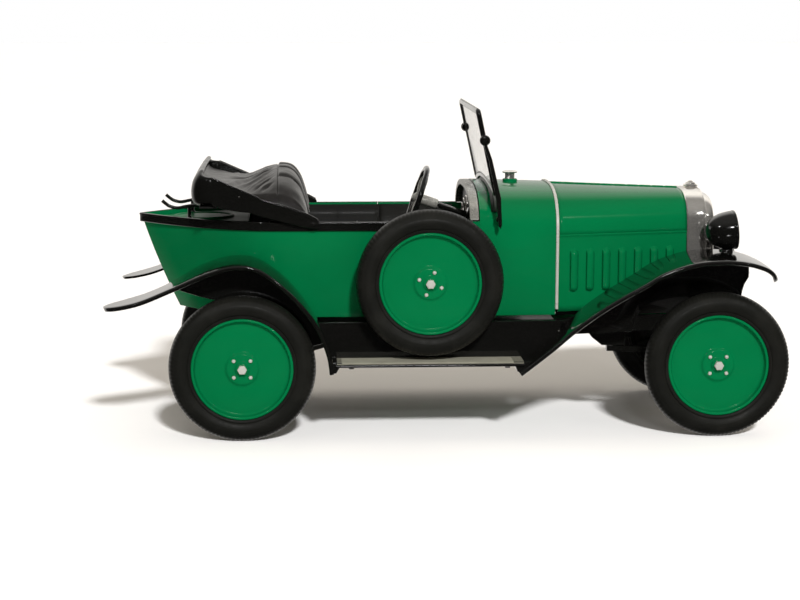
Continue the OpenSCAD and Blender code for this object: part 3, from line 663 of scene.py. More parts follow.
def make_door():
    verts, faces = side_skin(door=True)
    made = piece("door_skin", verts, faces, GREEN, ["door"], body="door")
    thickened(made, WALL)
    bevelled(made, 0.12, 2, 50)
    stations = [mix(DOOR_X[0], DOOR_X[1], i / 10) for i in range(11)]
    rings = rail_rings([(x, tub_half(x, RAIL_Z)) for x in stations])
    lofted("door_rail", rings, BLACK, body="door", closed=True, caps=True)
    inner = [mix(DOOR_X[0] + 0.2, DOOR_X[1] - 0.2, i / 10) for i in range(11)]
    heights = (DOOR_Z + 0.4, 52, 60, RAIL_Z - LINING_DROP)
    lining = [[(x, tub_half(x, z) - WALL - 0.12, z) for x in inner] for z in heights]
    made = lofted("door_lining", lining, SATIN_BLACK, body="door")
    thickened(made, 0.2, 0.0)
    handle_x = DOOR_X[0] + 4
    y = tub_half(handle_x, HANDLE_Z)
    stem = tube([(handle_x, y - 0.6, HANDLE_Z), (handle_x, y + 1.2, HANDLE_Z)], 0.42)
    shares = [k / 12 for k in range(13)]
    grip = [(handle_x - 0.7 + 4.4 * t, y + 1.2 + 0.16 * math.sin(math.pi * t), HANDLE_Z) for t in shares]
    radii = [0.5 * math.sin(math.pi * (0.12 + 0.76 * t)) ** 0.5 for t in shares]
    rose = turned([(0, 0.45), (0.85, 0.4), (1.05, 0.15), (1.05, -0.3)],
                  (handle_x, y, HANDLE_Z), (0, 1, 0), 32)
    piece("door_handle", *joined(stem, tube(grip, radii), rose), NICKEL, body="door")
    pin = (DOOR_X[1] + 0.35, DOOR_HIGH.y - 0.6, HINGE_Z)
    barrel = turned([(0, -1), (0.5, -1), (0.6, -0.9), (0.6, -0.05), (0.5, 0), (0.6, 0.05), (0.6, 0.9),
                     (0.5, 1), (0, 1)], pin, (0, 0, 1), 24)
    strap = tube([(pin[0] - 2, tub_half(pin[0], HINGE_Z) + 0.35, HINGE_Z), pin], 0.5, 12)
    piece("door_hinge_knuckle", *joined(barrel, strap), BLACK, body="door")


LID_X = -13


def make_tail():
    """Deck of the tail with a line pressed in along its edge, and the raised round lid."""
    deck_high = node_box("tail_deck")[1]
    deck_z = deck_high.z - 0.7
    inset = WALL + 0.05
    stern = level_at(deck_z)[0] + 1.6
    steps = [0, 0.5, 1.0, 1.35, 1.6, 1.85, 2.1, 2.4, 3.0]
    relief = [0.05, 0.0, 0.0, -0.1, -0.28, -0.28, -0.1, 0.0, 0.0]
    rows = []
    for i in range(61):
        x = mix(stern, deck_high.x, (i / 60) ** 1.1)
        half = max(tub_half(x, deck_z) - inset, 0.02)
        edge = [(x, max(half - d, 0), deck_z + h * ease((half - d) / 2)) for d, h in zip(steps, relief)]
        inner = max(half - steps[-1], 0)
        middle = [(x, inner * k / 8, deck_z + 0.12 * ease(1 - (k / 8))) for k in range(7, -1, -1)]
        side = edge + middle
        rows.append(side + [(px, -py, pz) for px, py, pz in reversed(side[:-1])])
    made = lofted("tail_deck_sheet", rows, DECK_GREEN, ["tail_deck"])
    thickened(made, 0.6)
    profile = [(0, 0.42), (6, 0.42), (8.0, 0.4), (8.35, 0.34), (8.6, 0.42), (8.9, 0.62), (9.3, 0.72),
               (9.65, 0.64), (9.9, 0.4), (10, 0.1), (10, -0.3)]
    piece("luggage_lid", *turned(profile, (LID_X, 0, deck_z), (0, 0, 1), 128), DECK_GREEN)


def make_cockpit():
    """Lining with pressed seams, and a ribbed mat on the floor."""
    floor_z = SILL_Z + WALL
    for side, name in SIDES:
        rows = []
        stations = [mix(2, DASH_X - 4, i / 120) for i in range(121)]
        seams = (31, 45, DASH_X - 9)
        for z in [mix(floor_z + 0.6, RAIL_Z - LINING_DROP, k / 8) for k in range(9)]:
            row = []
            for x in stations:
                groove = sum(0.3 * math.exp(-((x - seam) / 0.28) ** 2) for seam in seams)
                row.append((x, side * (tub_half(x, z) - WALL - 0.62 + groove), z))
            rows.append(row)
        stretches = [rows]
        if side > 0:
            behind = len([x for x in stations if x < DOOR_X[0] + 0.9])
            ahead = len([x for x in stations if x < DOOR_X[1] - 0.9])
            stretches = [[row[:behind] for row in rows], [row[ahead:] for row in rows]]
        lining = joined(*(skin(stretch) for stretch in stretches))
        made = piece(f"lining_{name}", *lining, SATIN_BLACK, shared("cockpit_lining", side))
        thickened(made, 0.3, 0.0)
    rows = []
    for x in [mix(-16, DASH_X - 2, i / 90) for i in range(91)]:
        half = tub_half(min(x, DASH_X), floor_z) - WALL - 0.3
        rows.append([(x, mix(-half, half, k / 60), floor_z + 0.35 + 0.22 * (k % 2)) for k in range(61)])
    low, high = node_box("motor_frame")
    verts, faces = skin(rows)
    kept = []
    for face in faces:
        centre = sum((Vector(verts[i]) for i in face), Vector()) / 4
        if not (low.x - 2.4 < centre.x < high.x + 1.2 and abs(centre.y) < 10.2):
            kept.append(face)
    made = piece("floor_mat", verts, kept, SATIN_BLACK, ["cockpit_floor"])
    thickened(made, 0.3)


LOUVRES = 7
LOUVRE_X = 105.6
LOUVRE_PITCH = 5.35
LOUVRE_Z = (45, 58.6)
LOUVRE_HALF = 1.4
LOUVRE_RISE = 1.35


def louvre_height(x, z):
    """How far the bonnet's side is pressed out: half-round ribs, cut open along their rear edge."""
    i = round((x - LOUVRE_X) / LOUVRE_PITCH)
    if not 0 <= i < LOUVRES:
        return 0.0
    u = (x - LOUVRE_X - i * LOUVRE_PITCH) / LOUVRE_HALF
    low, high = LOUVRE_Z
    end = LOUVRE_HALF * 1.15
    v = 0
    if z < low + end:
        v = (low + end - z) / end
    if z > high - end:
        v = (z - high + end) / end
    if u < -1 or abs(v) > 1:
        return 0.0
    away = math.hypot(u if u > -0.55 else -0.55, v)
    if away > 1:
        return 0.0
    bell = (1 - away * away) ** 0.6
    slit = ease((u + 1) / 0.22)
    return LOUVRE_RISE * bell * slit


def crease_relief(z):
    """A fine line pressed along the bonnet where its side meets its top."""
    return 0.28 * math.exp(-((z - CREASE_Z + 0.3) / 0.42) ** 2)


def make_bonnet():
    length = NOSE_X - BONNET_BACK[0]
    back = BONNET_BACK[0]
    low = SILL_Z + 1.0
    first = LOUVRE_X - LOUVRE_HALF - 0.6
    last = LOUVRE_X + (LOUVRES - 1) * LOUVRE_PITCH + LOUVRE_HALF + 0.6
    fine = [mix(first, last, i / 230) for i in range(231)]
    stations = [back, back + 0.35, first - 1.1] + fine
    stations += [mix(last, NOSE_X - 0.3, i / 3) for i in range(1, 4)] + [NOSE_X]
    side_z = [low, low + 2, low + 4] + [mix(LOUVRE_Z[0] - 0.4, LOUVRE_Z[1] + 0.4, k / 62) for k in range(63)]
    side_z += [60.2, 61.4, 62.0] + [mix(62.4, CREASE_Z, k / 7) for k in range(8)]
    for side, name in SIDES:
        rows = []
        for z in side_z:
            row = []
            for x in stations:
                a, tuck = section_between(BONNET_BACK, NOSE, (x - back) / length)[1::2]
                y = a - tuck * (CREASE_Z - z) / (CREASE_Z - SILL_Z)
                y += louvre_height(x, z) + crease_relief(z)
                row.append((x, side * y, z))
            rows.append(row)
        sheet = lofted(f"bonnet_side_{name}", rows, GREEN, shared("bonnet", side), sharp=55)
        thickened(sheet, 0.5)
    rows = []
    steps = 72
    for t in [i / 30 for i in range(31)]:
        x, a, b = section_between(BONNET_BACK, NOSE, t)[:3]
        row = []
        for i in range(steps + 1):
            y, z = arch_point(a, b, math.pi * i / steps)
            if z < CREASE_Z + 3:
                y += math.copysign(crease_relief(z), y)
            row.append((x, y, z))
        rows.append(row)
    top = lofted("bonnet_top", rows, GREEN)
    thickened(top, 0.5)
    spine = []
    for i in range(81):
        x = mix(back + 0.2, NOSE_X - 0.3, i / 80)
        rise = mix(BONNET_BACK[2], NOSE[2], (x - back) / length)
        spine.append((x, 0, CREASE_Z + rise + 0.05))
    radii = [0.36 if i % 8 else 0.26 for i in range(81)]
    piece("bonnet_hinge", *tube(spine, radii, 14), GREEN)


STRIP_FOOT = 1.9


def make_strip():
    """Silver strip over the joint between scuttle and bonnet."""
    rings = []
    profile = [(-0.05, 0.05), (0.0, 0.34), (0.2, 0.5), (0.7, 0.5), (0.9, 0.34), (0.95, 0.05), (0.45, -0.3)]
    centre = section_points(STRIP, 48, STRIP_FOOT)
    for (x, y, z), way in zip(centre, directions(centre)):
        out = Vector((0, way.z, -way.y))
        if out.dot(Vector((0, y, z - 55))) < 0:
            out = -out
        rings.append([(x + dx, y + out.y * d, z + out.z * d) for dx, d in profile])
    lofted("scuttle_strip_moulding", rings, SILVER, ["scuttle_strip"], closed=True, caps=True)


RADIATOR_LOW, RADIATOR_HIGH = node_box("radiator_shell")
CORE_X = RADIATOR_HIGH.x - 4.6
CORE_HALF = 14.8


def radiator_outline(x, half, rise, base):
    """The radiator's outline at a station, from its bottom left over the top to its bottom right."""
    left = [(half, mix(base, CREASE_Z, k / 12)) for k in range(12)]
    top = [arch_point(half, rise, math.pi * i / 56) for i in range(57)]
    return [(x, y, z) for y, z in left + top + [(-y, z) for y, z in reversed(left)]]


def make_radiator():
    """Nickel shell with a rolled bezel, on a flat foot."""
    bottom = RADIATOR_LOW.z
    back, front = RADIATOR_LOW.x, RADIATOR_HIGH.x
    shape = [(back + 3, 16.9, 11.5), (back + 0.1, 17.4, 12.0), (back, 17.8, 12.4), (back + 0.25, 18, 12.6),
             (back + 5.4, 18, 12.6)]
    for a in [math.radians(degrees) for degrees in range(-60, 151, 30)]:
        bead = 0.38 * math.cos(a)
        shape.append((back + 5.9 + 0.38 * math.sin(a), 17.75 + bead, 12.35 + bead))
    for a in [math.radians(degrees) for degrees in range(0, 91, 15)]:
        inwards = 1.3 * (1 - math.cos(a))
        shape.append((mix(back + 6.1, front, math.sin(a)), 16.5 - inwards, 11.1 - inwards))
    shape += [(front - 0.1, 15.0, 9.7), (front - 0.5, 14.6, 9.4), (front - 2, 14.4, 9.2)]
    shape.append((front - 4.2, 14.4, 9.2))
    rows = [radiator_outline(x, half, rise, bottom) for x, half, rise in shape]
    lofted("radiator_surround", rows, NICKEL, ["radiator_shell"])
    sill = []
    for x in (back, front - 3.6):
        corners = ((-17.8, 0.1), (17.8, 0.1), (17.8, 1.4), (-17.8, 1.4))
        sill.append([(x, y, bottom + z) for y, z in corners])
    made = lofted("radiator_foot", sill, NICKEL, closed=True, caps=True)
    bevelled(made, 0.3, 3)


def make_radiator_core():
    """Upright tubes and thin level fins in front of a black sheet."""
    bottom = RADIATOR_LOW.z
    parts = []
    for y in [k * 1.15 for k in range(-12, 13)]:
        top = CREASE_Z + 9.2 * arch_share(y / 14.6) + 0.6
        parts.append(tube([(CORE_X, y, bottom + 1.3), (CORE_X, y, top)], 0.27, 8))
    for z in [mix(bottom + 2, CREASE_Z + 8.6, k / 25) for k in range(26)]:
        half = CORE_HALF * arch_share(max(z - CREASE_Z, 0) / 9.8)
        parts.append(tube([(CORE_X + 0.1, -half, z), (CORE_X + 0.1, half, z)], 0.16, 8))
    piece("radiator_fins", *joined(*parts), DARK_STEEL, ["radiator_core"])
    rows = [radiator_outline(x, 16.8, 11.4, bottom + 1) for x in (RADIATOR_LOW.x + 0.6, CORE_X - 0.8)]
    sheet = lofted("radiator_backing", rows, BLACK, closed=True, caps=True)
    thickened(sheet, 0.1)


def make_caps():
    """Turned caps of radiator and fuel filler, the second on a collar pressed up from the scuttle."""
    up = (0, 0, 1)
    cap = [(0, 2.1), (0.55, 2.05), (0.9, 1.75), (1.1, 1.5), (1.5, 1.42), (1.62, 1.2), (1.62, 0.95),
           (2.2, 0.85), (2.42, 0.6), (2.42, 0.3), (2.2, 0.05), (2.0, -0.4)]
    piece("radiator_filler", *turned(cap, node_foot("radiator_cap"), up, 48), NICKEL, ["radiator_cap"])
    filler = [(0, 2.62), (1.2, 2.6), (2.15, 2.5), (2.48, 2.3), (2.48, 2.0), (2.3, 1.85), (1.62, 1.8),
              (1.6, 1.2), (1.62, 0.3), (1.7, 0.0), (1.7, -0.3)]
    piece("fuel_filler", *turned(filler, node_foot("filler_cap"), up, 48), NICKEL, ["filler_cap"])
    collar = [(1.6, 0.02), (2.1, 0.0), (2.38, -0.18), (2.45, -0.6), (2.4, -0.9), (2.6, -1.35), (3.1, -1.6),
              (3.6, -1.75), (3.7, -2.2)]
    piece("filler_collar", *turned(collar, node_foot("filler_cap"), up, 64), GREEN)


# ------------------------------------------------------------------ fenders and running boards

HALF_WIDTH = node_box("rear_fender_left")[1].y
TAIL_END = node_box("rear_fender_left")[0].x
REAR_LINE = smooth_line([(28.7, 22), (27.6, 28.6), (23.6, 37.9), (15.5, 47.7), (6.2, 54.9), (-1.5, 56.3),
                         (-10.5, 54.1), (-22, 49.2), (-30.5, 45.7), (-37, 43.9), (TAIL_END + 0.28, 42.7)], 8)
FRONT_LINE = smooth_line([(86.5, 22), (95.6, 29), (103.5, 35.6), (111.7, 41.5), (118.8, 45.8), (126, 49.8),
                          (132, 53.2), (140.9, 56), (150, 56.9), (158, 56.3), (164, 54.5), (167.6, 52.2),
                          (169.5, 49.4)], 8)
SHEET = 0.8
FRONT_CROWN = 0.55


# Inner edge of the fenders where they come down beside the running boards
BOARD_EDGE = 33.8
REAR_MIDDLE = 35.8
REAR_HALF = 8.2
FRONT_MIDDLE = 34


def tip(distance, length):
    """Share of the full width at a distance into a rounded end; it stops short of nothing."""
    return math.sqrt(max(1 - (max(distance, 0) / length) ** 2, 0.004))


def rear_edges(x):
    """Distances across to the rear fender's inner and outer edge; its tail is rounded."""
    if x < -8:
        half = REAR_HALF * tip(-31 - x, 12.05)
        return REAR_MIDDLE - half, REAR_MIDDLE + half
    return mix(REAR_MIDDLE - REAR_HALF, BOARD_EDGE, ease((x + 8) / 24)), HALF_WIDTH


def rear_crown(x):
    return 1.5 * ease((27 - x) / 16) * (1 - ease((-10 - x) / 16))


def bonnet_side(x):
    """Distance across to the bonnet's side, where the front fender's inner edge lies."""
    return mix(28.2, 18.4, clamp((x - 100) / 43.4))


def front_edges(x):
    """Distances across to the front fender's inner and outer edge; its front is rounded."""
    share = tip(x - 157, 12.6)
    outer = mix(FRONT_MIDDLE, HALF_WIDTH, share)
    if x < 112:
        return mix(BOARD_EDGE, bonnet_side(112), ease((x - 99) / 13)), outer
    return mix(FRONT_MIDDLE, bonnet_side(x), share), outer


def fender_ring(inner, outer, crown):
    """Cross section of a fender as (y, drop): crowned sheet whose outer edge is rolled round a wire."""
    width = outer - inner
    wire = min(0.72, width / 5)
    sheet = min(SHEET, width / 4)
    shares = [k / 12 for k in range(13)]
    ring = [(mix(inner, outer - wire * 1.5, v), -crown * (1 - v * v)) for v in shares]
    ring.append((outer - wire * 1.25, 0.05))
    ring += arc((outer - wire, wire * 1.05), (wire, -wire), 80, -121, -25)
    for v in [k / 8 for k in range(8, -1, -1)]:
        ring.append((mix(inner, outer - wire * 1.9, v), sheet - crown * (1 - v * v)))
    return ring


def fender_sheet(line, edges, crown_at, up, side):
    """A fender along a line in x and z; up is 1 where the line runs backwards and -1 where forwards."""
    rings = []
    for p, way in zip(line, directions(line)):
        n = Vector((way.y, -way.x)) * up
        inner, outer = edges(p.x)
        rings.append([(p.x - n.x * drop, side * y, p.y - n.y * drop)
                      for y, drop in fender_ring(inner, outer, crown_at(p.x))])
    return skin(rings, closed=True, caps=True)


def flat_plate(outline, y0, y1):
    """A plate between two planes across the car, from an outline in x and z."""
    count = len(outline)
    verts = [(x, y0, z) for x, z in outline] + [(x, y1, z) for x, z in outline]
    faces = [tuple(range(count)), tuple(range(2 * count - 1, count - 1, -1))]
    faces += [(i, (i + 1) % count, count + (i + 1) % count, count + i) for i in range(count)]
    return verts, faces


def make_fenders():
    for side, name in SIDES:
        verts, faces = fender_sheet(REAR_LINE, rear_edges, rear_crown, 1, side)
        piece(f"rear_wing_{name}", verts, faces, BLACK, [f"rear_fender_{name}"], 50)
        top = [(p.x - 0.2, p.y + rear_crown(p.x) - 0.5) for p in REAR_LINE if p.x > -22.5 and p.y > 30]
        lower = [(-19, 46.9), (-13, 45), (-7, 43.6), (8, 38), (22, 29)]
        verts, faces = flat_plate(top + lower, side * 31.4, side * 32.2)
        bevelled(piece(f"rear_wing_panel_{name}", verts, faces, BLACK), 0.15)
        verts, faces = fender_sheet(FRONT_LINE, front_edges, lambda x: FRONT_CROWN, -1, side)
        piece(f"front_wing_{name}", verts, faces, BLACK, [f"front_fender_{name}"], 50)
        make_front_panel(side, name)


def line_height(line, x):
    for (x0, z0), (x1, z1) in zip(line, line[1:]):
        if x0 <= x <= x1:
            return mix(z0, z1, (x - x0) / (x1 - x0))
    return line[-1][1]


def make_front_panel(side, name):
    """Upright sheet between wing and chassis, with a pressed line along its lower edge."""
    lower = [(104, 31.5), (125, 31.5), (127, 37.1), (160.5, 37.1), (161.3, 42.8), (162, 45.7), (163.6, 48.4)]
    rows = []
    for x in [mix(lower[0][0], lower[-1][0], i / 90) for i in range(91)]:
        low = line_height(lower, x)
        high = max(line_height(FRONT_LINE, x) - 0.3, low + 0.1)
        row = []
        for k in range(15):
            z = mix(low, high, k / 14)
            pressed = 0.35 * math.exp(-((z - low - 2.2) / 0.5) ** 2) if high - low > 6 else 0
            row.append((x, side * (bonnet_side(x) + 0.2 + SHEET - pressed), z))
        rows.append(row)
    made = lofted(f"front_wing_panel_{name}", rows, BLACK)
    thickened(made, SHEET)
    bevelled(made, 0.12, 2, 50)


def make_valances():
    """Black strips inside the bonnet's lower edge, which close the gap above the aprons."""
    for side, name in SIDES:
        rows = []
        for z in (SILL_Z - 0.4, SILL_Z + 3):
            row = []
            for x in [mix(STRIP_X + 0.3, 124, i / 12) for i in range(13)]:
                across, lean = section_between(BONNET_BACK, NOSE, (x - STRIP_X) / (NOSE_X - STRIP_X))[1::2]
                row.append((x, side * (across - lean - 1.2), z))
            rows.append(row)
        made = lofted(f"valance_{name}", rows, BLACK)
        thickened(made, 0.5, 0.0)


TREAD_RIBS = 8


def make_boards():
    """Running boards with rolled edges and ribbed plates."""
    low, high = node_box("running_boards")
    plate_low, plate_high = node_box("tread_plates")
    top = plate_low.z
    inner = BOARD_EDGE - 0.3
    outer = high.y
    for side, name in SIDES:
        ring = [(inner, top - 0.8), (inner, top - 0.02), (outer - 0.6, top - 0.02)]
        ring += arc((outer - 0.5, top - 0.52), 0.5, 90, -91, -20)
        ring.append((outer - 1, top - 0.8))
        rows = [[(x, side * y, z) for y, z in ring] for x in (low.x, low.x + 0.3, high.x - 0.3, high.x)]
        lofted(f"running_board_{name}", rows, BLACK, shared("running_boards", side), closed=True,
                      caps=True)
        stays = [flat_plate([(x, low.z), (x + 1.6, low.z), (x + 1.6, top - 0.7), (x, top - 0.7)],
                            side * inner, side * (inner + 8)) for x in (low.x + 4, high.x - 6)]
        for foot in ([(27.4, 22.2), (29.3, 22.2), (31.2, 25.5), (27.6, 25.5)],
                     [(86.0, 22.2), (88.2, 22.2), (90.4, 25.5), (84.6, 25.5)]):
            stays.append(flat_plate(foot, side * (inner + 0.5), side * (outer - 0.5)))
        bevelled(piece(f"board_stays_{name}", *joined(*stays), BLACK), 0.2)
        profile = [(BOARD_EDGE, top), (BOARD_EDGE, top + 0.22)]
        for i in range(TREAD_RIBS):
            centre = mix(BOARD_EDGE, plate_high.y, (i + 0.5) / TREAD_RIBS)
            for k in range(9):
                a = math.pi * (1 - k / 8)
                profile.append((centre + 0.4 * math.cos(a), top + 0.24 + 0.33 * math.sin(a)))
        profile += [(plate_high.y, top + 0.22), (plate_high.y, top - 0.3)]
        rows = [[(x, side * y, z) for y, z in profile]
                for x in (plate_low.x, plate_low.x + 0.15, plate_high.x - 0.15, plate_high.x)]
        sheet = lofted(f"tread_plate_{name}", rows, PLATE, shared("tread_plates", side), sharp=60)
        thickened(sheet, 0.2)


# ------------------------------------------------------------------ wheels

TYRE_R = node_box("tyre_front_left")[1].z / 2
TYRE_W = 7.6
BEAD_R = 16.05
TREAD_BLOCKS = 110


def wheel_places():
    """Each wheel's name, body, centre, outward direction and the nodes that its pieces stand for."""
    rear_y = node_box("rear_tyres")[1].y - TYRE_W / 2
    places = [
        ("rear_left", "rear_axle", (0, rear_y, TYRE_R), 1, ("rear_tyres", "rear_discs", "wheel_nuts_rear")),
        ("rear_right", "rear_axle", (0, -rear_y, TYRE_R), -1, (None, None, None)),
    ]
    for sign, side in SIDES:
        places.append((f"front_{side}", f"wheel_front_{side}", node_centre(f"tyre_front_{side}"), sign,
                       (f"tyre_front_{side}", f"disc_front_{side}", f"wheel_nuts_front_{side}")))
    places.append(("spare", "chassis", node_centre("spare_tyre"), -1, ("spare_tyre", "spare_disc", None)))
    return places


def tyre_mesh(centre, sign):
    """A tyre with a beaded foot, a smooth wall with two fine lines, and a tread of short blocks."""
    tube_r = TYRE_W / 2
    middle = TYRE_R - tube_r
    profile = [(BEAD_R + 0.02, -3.2), (BEAD_R + 0.25, -3.42), (BEAD_R + 0.9, -3.4)]
    flags = [0, 0, 0]
    for k in range(37):
        a = math.radians(-128 + 256 * k / 36)
        degrees = abs(math.degrees(a))
        dent = 0.14 * math.exp(-((degrees - 63) / 2.6) ** 2) + 0.1 * math.exp(-((degrees - 104) / 3) ** 2)
        profile.append((middle + (tube_r - dent) * math.cos(a), (tube_r - dent) * math.sin(a)))
        flags.append(1 if degrees < 55 else 0)
    profile += [(BEAD_R + 0.9, 3.4), (BEAD_R + 0.25, 3.42), (BEAD_R + 0.02, 3.2)]
    flags += [0, 0, 0]
    segments = TREAD_BLOCKS * 3
    rings = []
    for i in range(segments):
        angle = math.tau * i / segments
        ring = []
        for (r, y), tread in zip(profile, flags):
            block_end = (i + int(y > 0) + (2 if y < 0 else 0)) % 3 == 0
            cut = 0.2 if tread and abs(y) > 0.7 and block_end else 0.0
            ring_cut = 0.16 if tread and 0.4 < abs(y) < 0.9 else 0.0
            radius = r - max(cut, ring_cut)
            out = Vector((math.cos(angle) * radius, y * sign, math.sin(angle) * radius))
            ring.append(Vector(centre) + out)
        rings.append(ring)
    count = len(profile)
    verts, faces = skin(rings)
    start = (segments - 1) * count
    return verts, faces + [(start + j, j, j + 1, start + j + 1) for j in range(count - 1)]


def disc_profile():
    """Radius and distance outwards of a wheel disc: rolled rim, dished face, pressed ring and raised hub."""
    rim = [(BEAD_R - 0.02, -3.3), (BEAD_R + 0.05, -2), (BEAD_R - 0.05, 2.4)]
    rim += arc((15.55, 2.75), (0.5, 0.42), 0, 181, 18)
    dish = [(14.95, 2.2), (14.75, 1.75), (14.5, 1.5), (14.1, 1.42), (13.4, 1.44), (12, 1.5), (9, 1.6),
            (6.4, 1.68)]
    hub = [(5.7, 1.72), (5.3, 1.82), (5.05, 2.1), (4.8, 2.32), (4.4, 2.4), (3.4, 2.4), (2.6, 2.42),
           (2.3, 2.55), (2.1, 2.9), (1.9, 3.15), (1.2, 3.2)]
    return rim + dish + hub


def make_wheels():
    for name, body, centre, sign, nodes in wheel_places():
        axis = (0, sign, 0)
        verts, faces = tyre_mesh(centre, sign)
        piece(f"tyre_{name}", verts, faces, RUBBER, [nodes[0]] if nodes[0] else (), 48, body=body)
        face = turned(disc_profile(), centre, axis, 144)
        back = turned([(BEAD_R - 0.02, -3.3), (15.2, -3.1), (15.0, -1.5), (14.2, 0.1), (8, 0.4), (3.6, 0.5),
                       (3.2, 0.0), (3.0, -4.6), (2.7, -5.0), (1.52, -5.0), (1.35, -4.5)], centre, axis, 96)
        piece(f"disc_{name}", *face, GREEN, [nodes[1]] if nodes[1] else (), 50, body=body)
        piece(f"disc_back_{name}", *back, BLACK, sharp=50, body=body)
        make_nuts(name, body, centre, sign, nodes[2])
    bracket = [(0, -5.02), (3.0, -5.05), (3.35, -5.2), (3.4, -5.6), (3.4, -8.6)]
    piece("spare_bracket", *turned(bracket, node_centre("spare_tyre"), (0, -1, 0), 48), BLACK,
          ["spare_mount"])


# How far each wheel's nuts are turned from level, in degrees
NUT_TURN = {"rear_left": 30, "rear_right": 45, "front_left": 10, "front_right": 45, "spare": 70}


def make_nuts(name, body, centre, sign, node):
    """A six-sided hub cap and four round nuts."""
    axis = Vector((0, sign, 0))
    cap = turned([(1.95, 2.45), (1.95, 2.75), (1.7, 2.95)], centre, axis, 40)
    hexagon = turned([(1.55, 2.9), (1.55, 4.05), (1.35, 4.3), (0, 4.42)], centre, axis, 6, (1, 0, 0))
    parts = [cap, hexagon]
    for i in range(4):
        a = math.radians(NUT_TURN[name] + 90 * i)
        spot = Vector(centre) + Vector((3.7 * math.cos(a), 0, 3.7 * math.sin(a)))
        parts.append(turned([(0.62, 2.3), (0.62, 2.62), (0.5, 2.84), (0.3, 2.96), (0, 3.0)], spot, axis, 20))
    made = piece(f"nuts_{name}", *joined(*parts), SILVER, [node] if node else (), 30, body=body)
    bevelled(made, 0.12, 2, 28)


# ------------------------------------------------------------------ lamps and windscreen


LAMP_TILT = math.radians(5)
LAMP_TIP = (148.2, 63.3)
LAMP_FOOT_X = 155.4
LENS_R = 5.9


def lens_rings(tip, way, up):
    """Rings of a bulged lens, with upright flutes that fade towards its rim."""
    rings = []
    for share in [k / 12 for k in range(13)]:
        ring = []
        for a in [math.tau * i / 96 for i in range(96)]:
            y = LENS_R * share * math.cos(a)
            flute = 0.1 * abs(math.sin(y * 2.4)) * (1 - share ** 4)
            depth = 9.75 + 1.15 * (1 - share ** 2) - flute
            ring.append(tip + way * depth + Vector((0, y, 0)) + up * LENS_R * share * math.sin(a))
        rings.append(ring)
    return rings


def make_lamps():
    """Bullet lamps with a rolled rim, a bright bowl and a ribbed lens."""
    lamp_y = node_box("headlight_shells")[1].y - 6.4
    way = Vector((math.cos(LAMP_TILT), 0, math.sin(LAMP_TILT)))
    up = Vector((-math.sin(LAMP_TILT), 0, math.cos(LAMP_TILT)))
    for side, name in SIDES:
        tip = Vector((LAMP_TIP[0], side * lamp_y, LAMP_TIP[1]))
        curve = [(0, 0.02), (1.6, 0.25), (2.9, 0.9), (4.1, 2.1), (5, 3.6), (5.7, 5.6), (6.1, 7.8), (6.2, 8.9)]
        shell = [(p.x, p.y) for p in smooth_line(curve, 5)]
        shell += arc((6.12, 9.6), (0.2, 0.45), -90, 181, 27) + [(5.9, 9.6)]
        piece(f"lamp_shell_{name}", *turned(shell, tip, way, 72), BLACK,
              shared("headlight_shells", side))
        bowl = [(0.8, 3.1), (2.2, 3.6), (3.6, 4.8), (4.8, 6.6), (5.5, 8.4), (5.85, 9.6)]
        bulb = [(0, 7.6), (0.5, 7.4), (0.8, 6.8), (0.7, 6.0), (0.45, 5.4), (0.45, 3.2)]
        piece(f"lamp_bowl_{name}", *joined(turned(bowl, tip, way, 48), turned(bulb, tip, way, 24)),
              NICKEL)
        lens = lofted(f"lamp_lens_{name}", lens_rings(tip, way, up), LAMP_GLASS,
                      shared("headlight_lenses", side), closed=True)
        thickened(lens, 0.35)
        stem = turned([(0, 59.6), (1.1, 59.5), (1.05, 58.5), (1.35, 58.1), (2.1, 57.9), (2.3, 57.6),
                       (2.3, 57.0)], (LAMP_FOOT_X, side * lamp_y, 0), (0, 0, 1), 36)
        piece(f"lamp_foot_{name}", *stem, BLACK)


def frame_joint(name):
    return next(joint for joint in frame["joints"] if joint["name"] == name)


SCREEN_X = 76
SCREEN_LEAN = math.radians(12)
SCREEN_HALF = node_box("windscreen_glass")[1].y + 1.4
PIVOT_Z = frame_joint("windscreen_tilt")["pos_m"][2] / MM


def on_screen(y, z, out=0.0):
    """A place on the leaning windscreen, y and z counted from its pivot and out forwards from its plane."""
    return Vector((SCREEN_X + math.cos(SCREEN_LEAN) * out - math.sin(SCREEN_LEAN) * z, y,
                   PIVOT_Z + math.sin(SCREEN_LEAN) * out + math.cos(SCREEN_LEAN) * z))


def screen_outline(inset):
    """The frame's outline, inset: two rounded upper corners, upright sides and a sagging lower edge."""
    half = SCREEN_HALF - inset
    top = 9.7 - inset
    corner = arc((1.2 - half, top - 1.2), 1.2, 90, 181, 15)
    bottom = [(i / 16 * half, -14.9 + inset - 3.2 * (i / 16) ** 2) for i in range(-16, 17)]
    side = [(-half, mix(corner[-1][1], bottom[0][1], k / 8)) for k in range(1, 8)]
    left = corner[1:] + side
    return left + bottom + [(-y, z) for y, z in reversed(corner[:1] + left)]


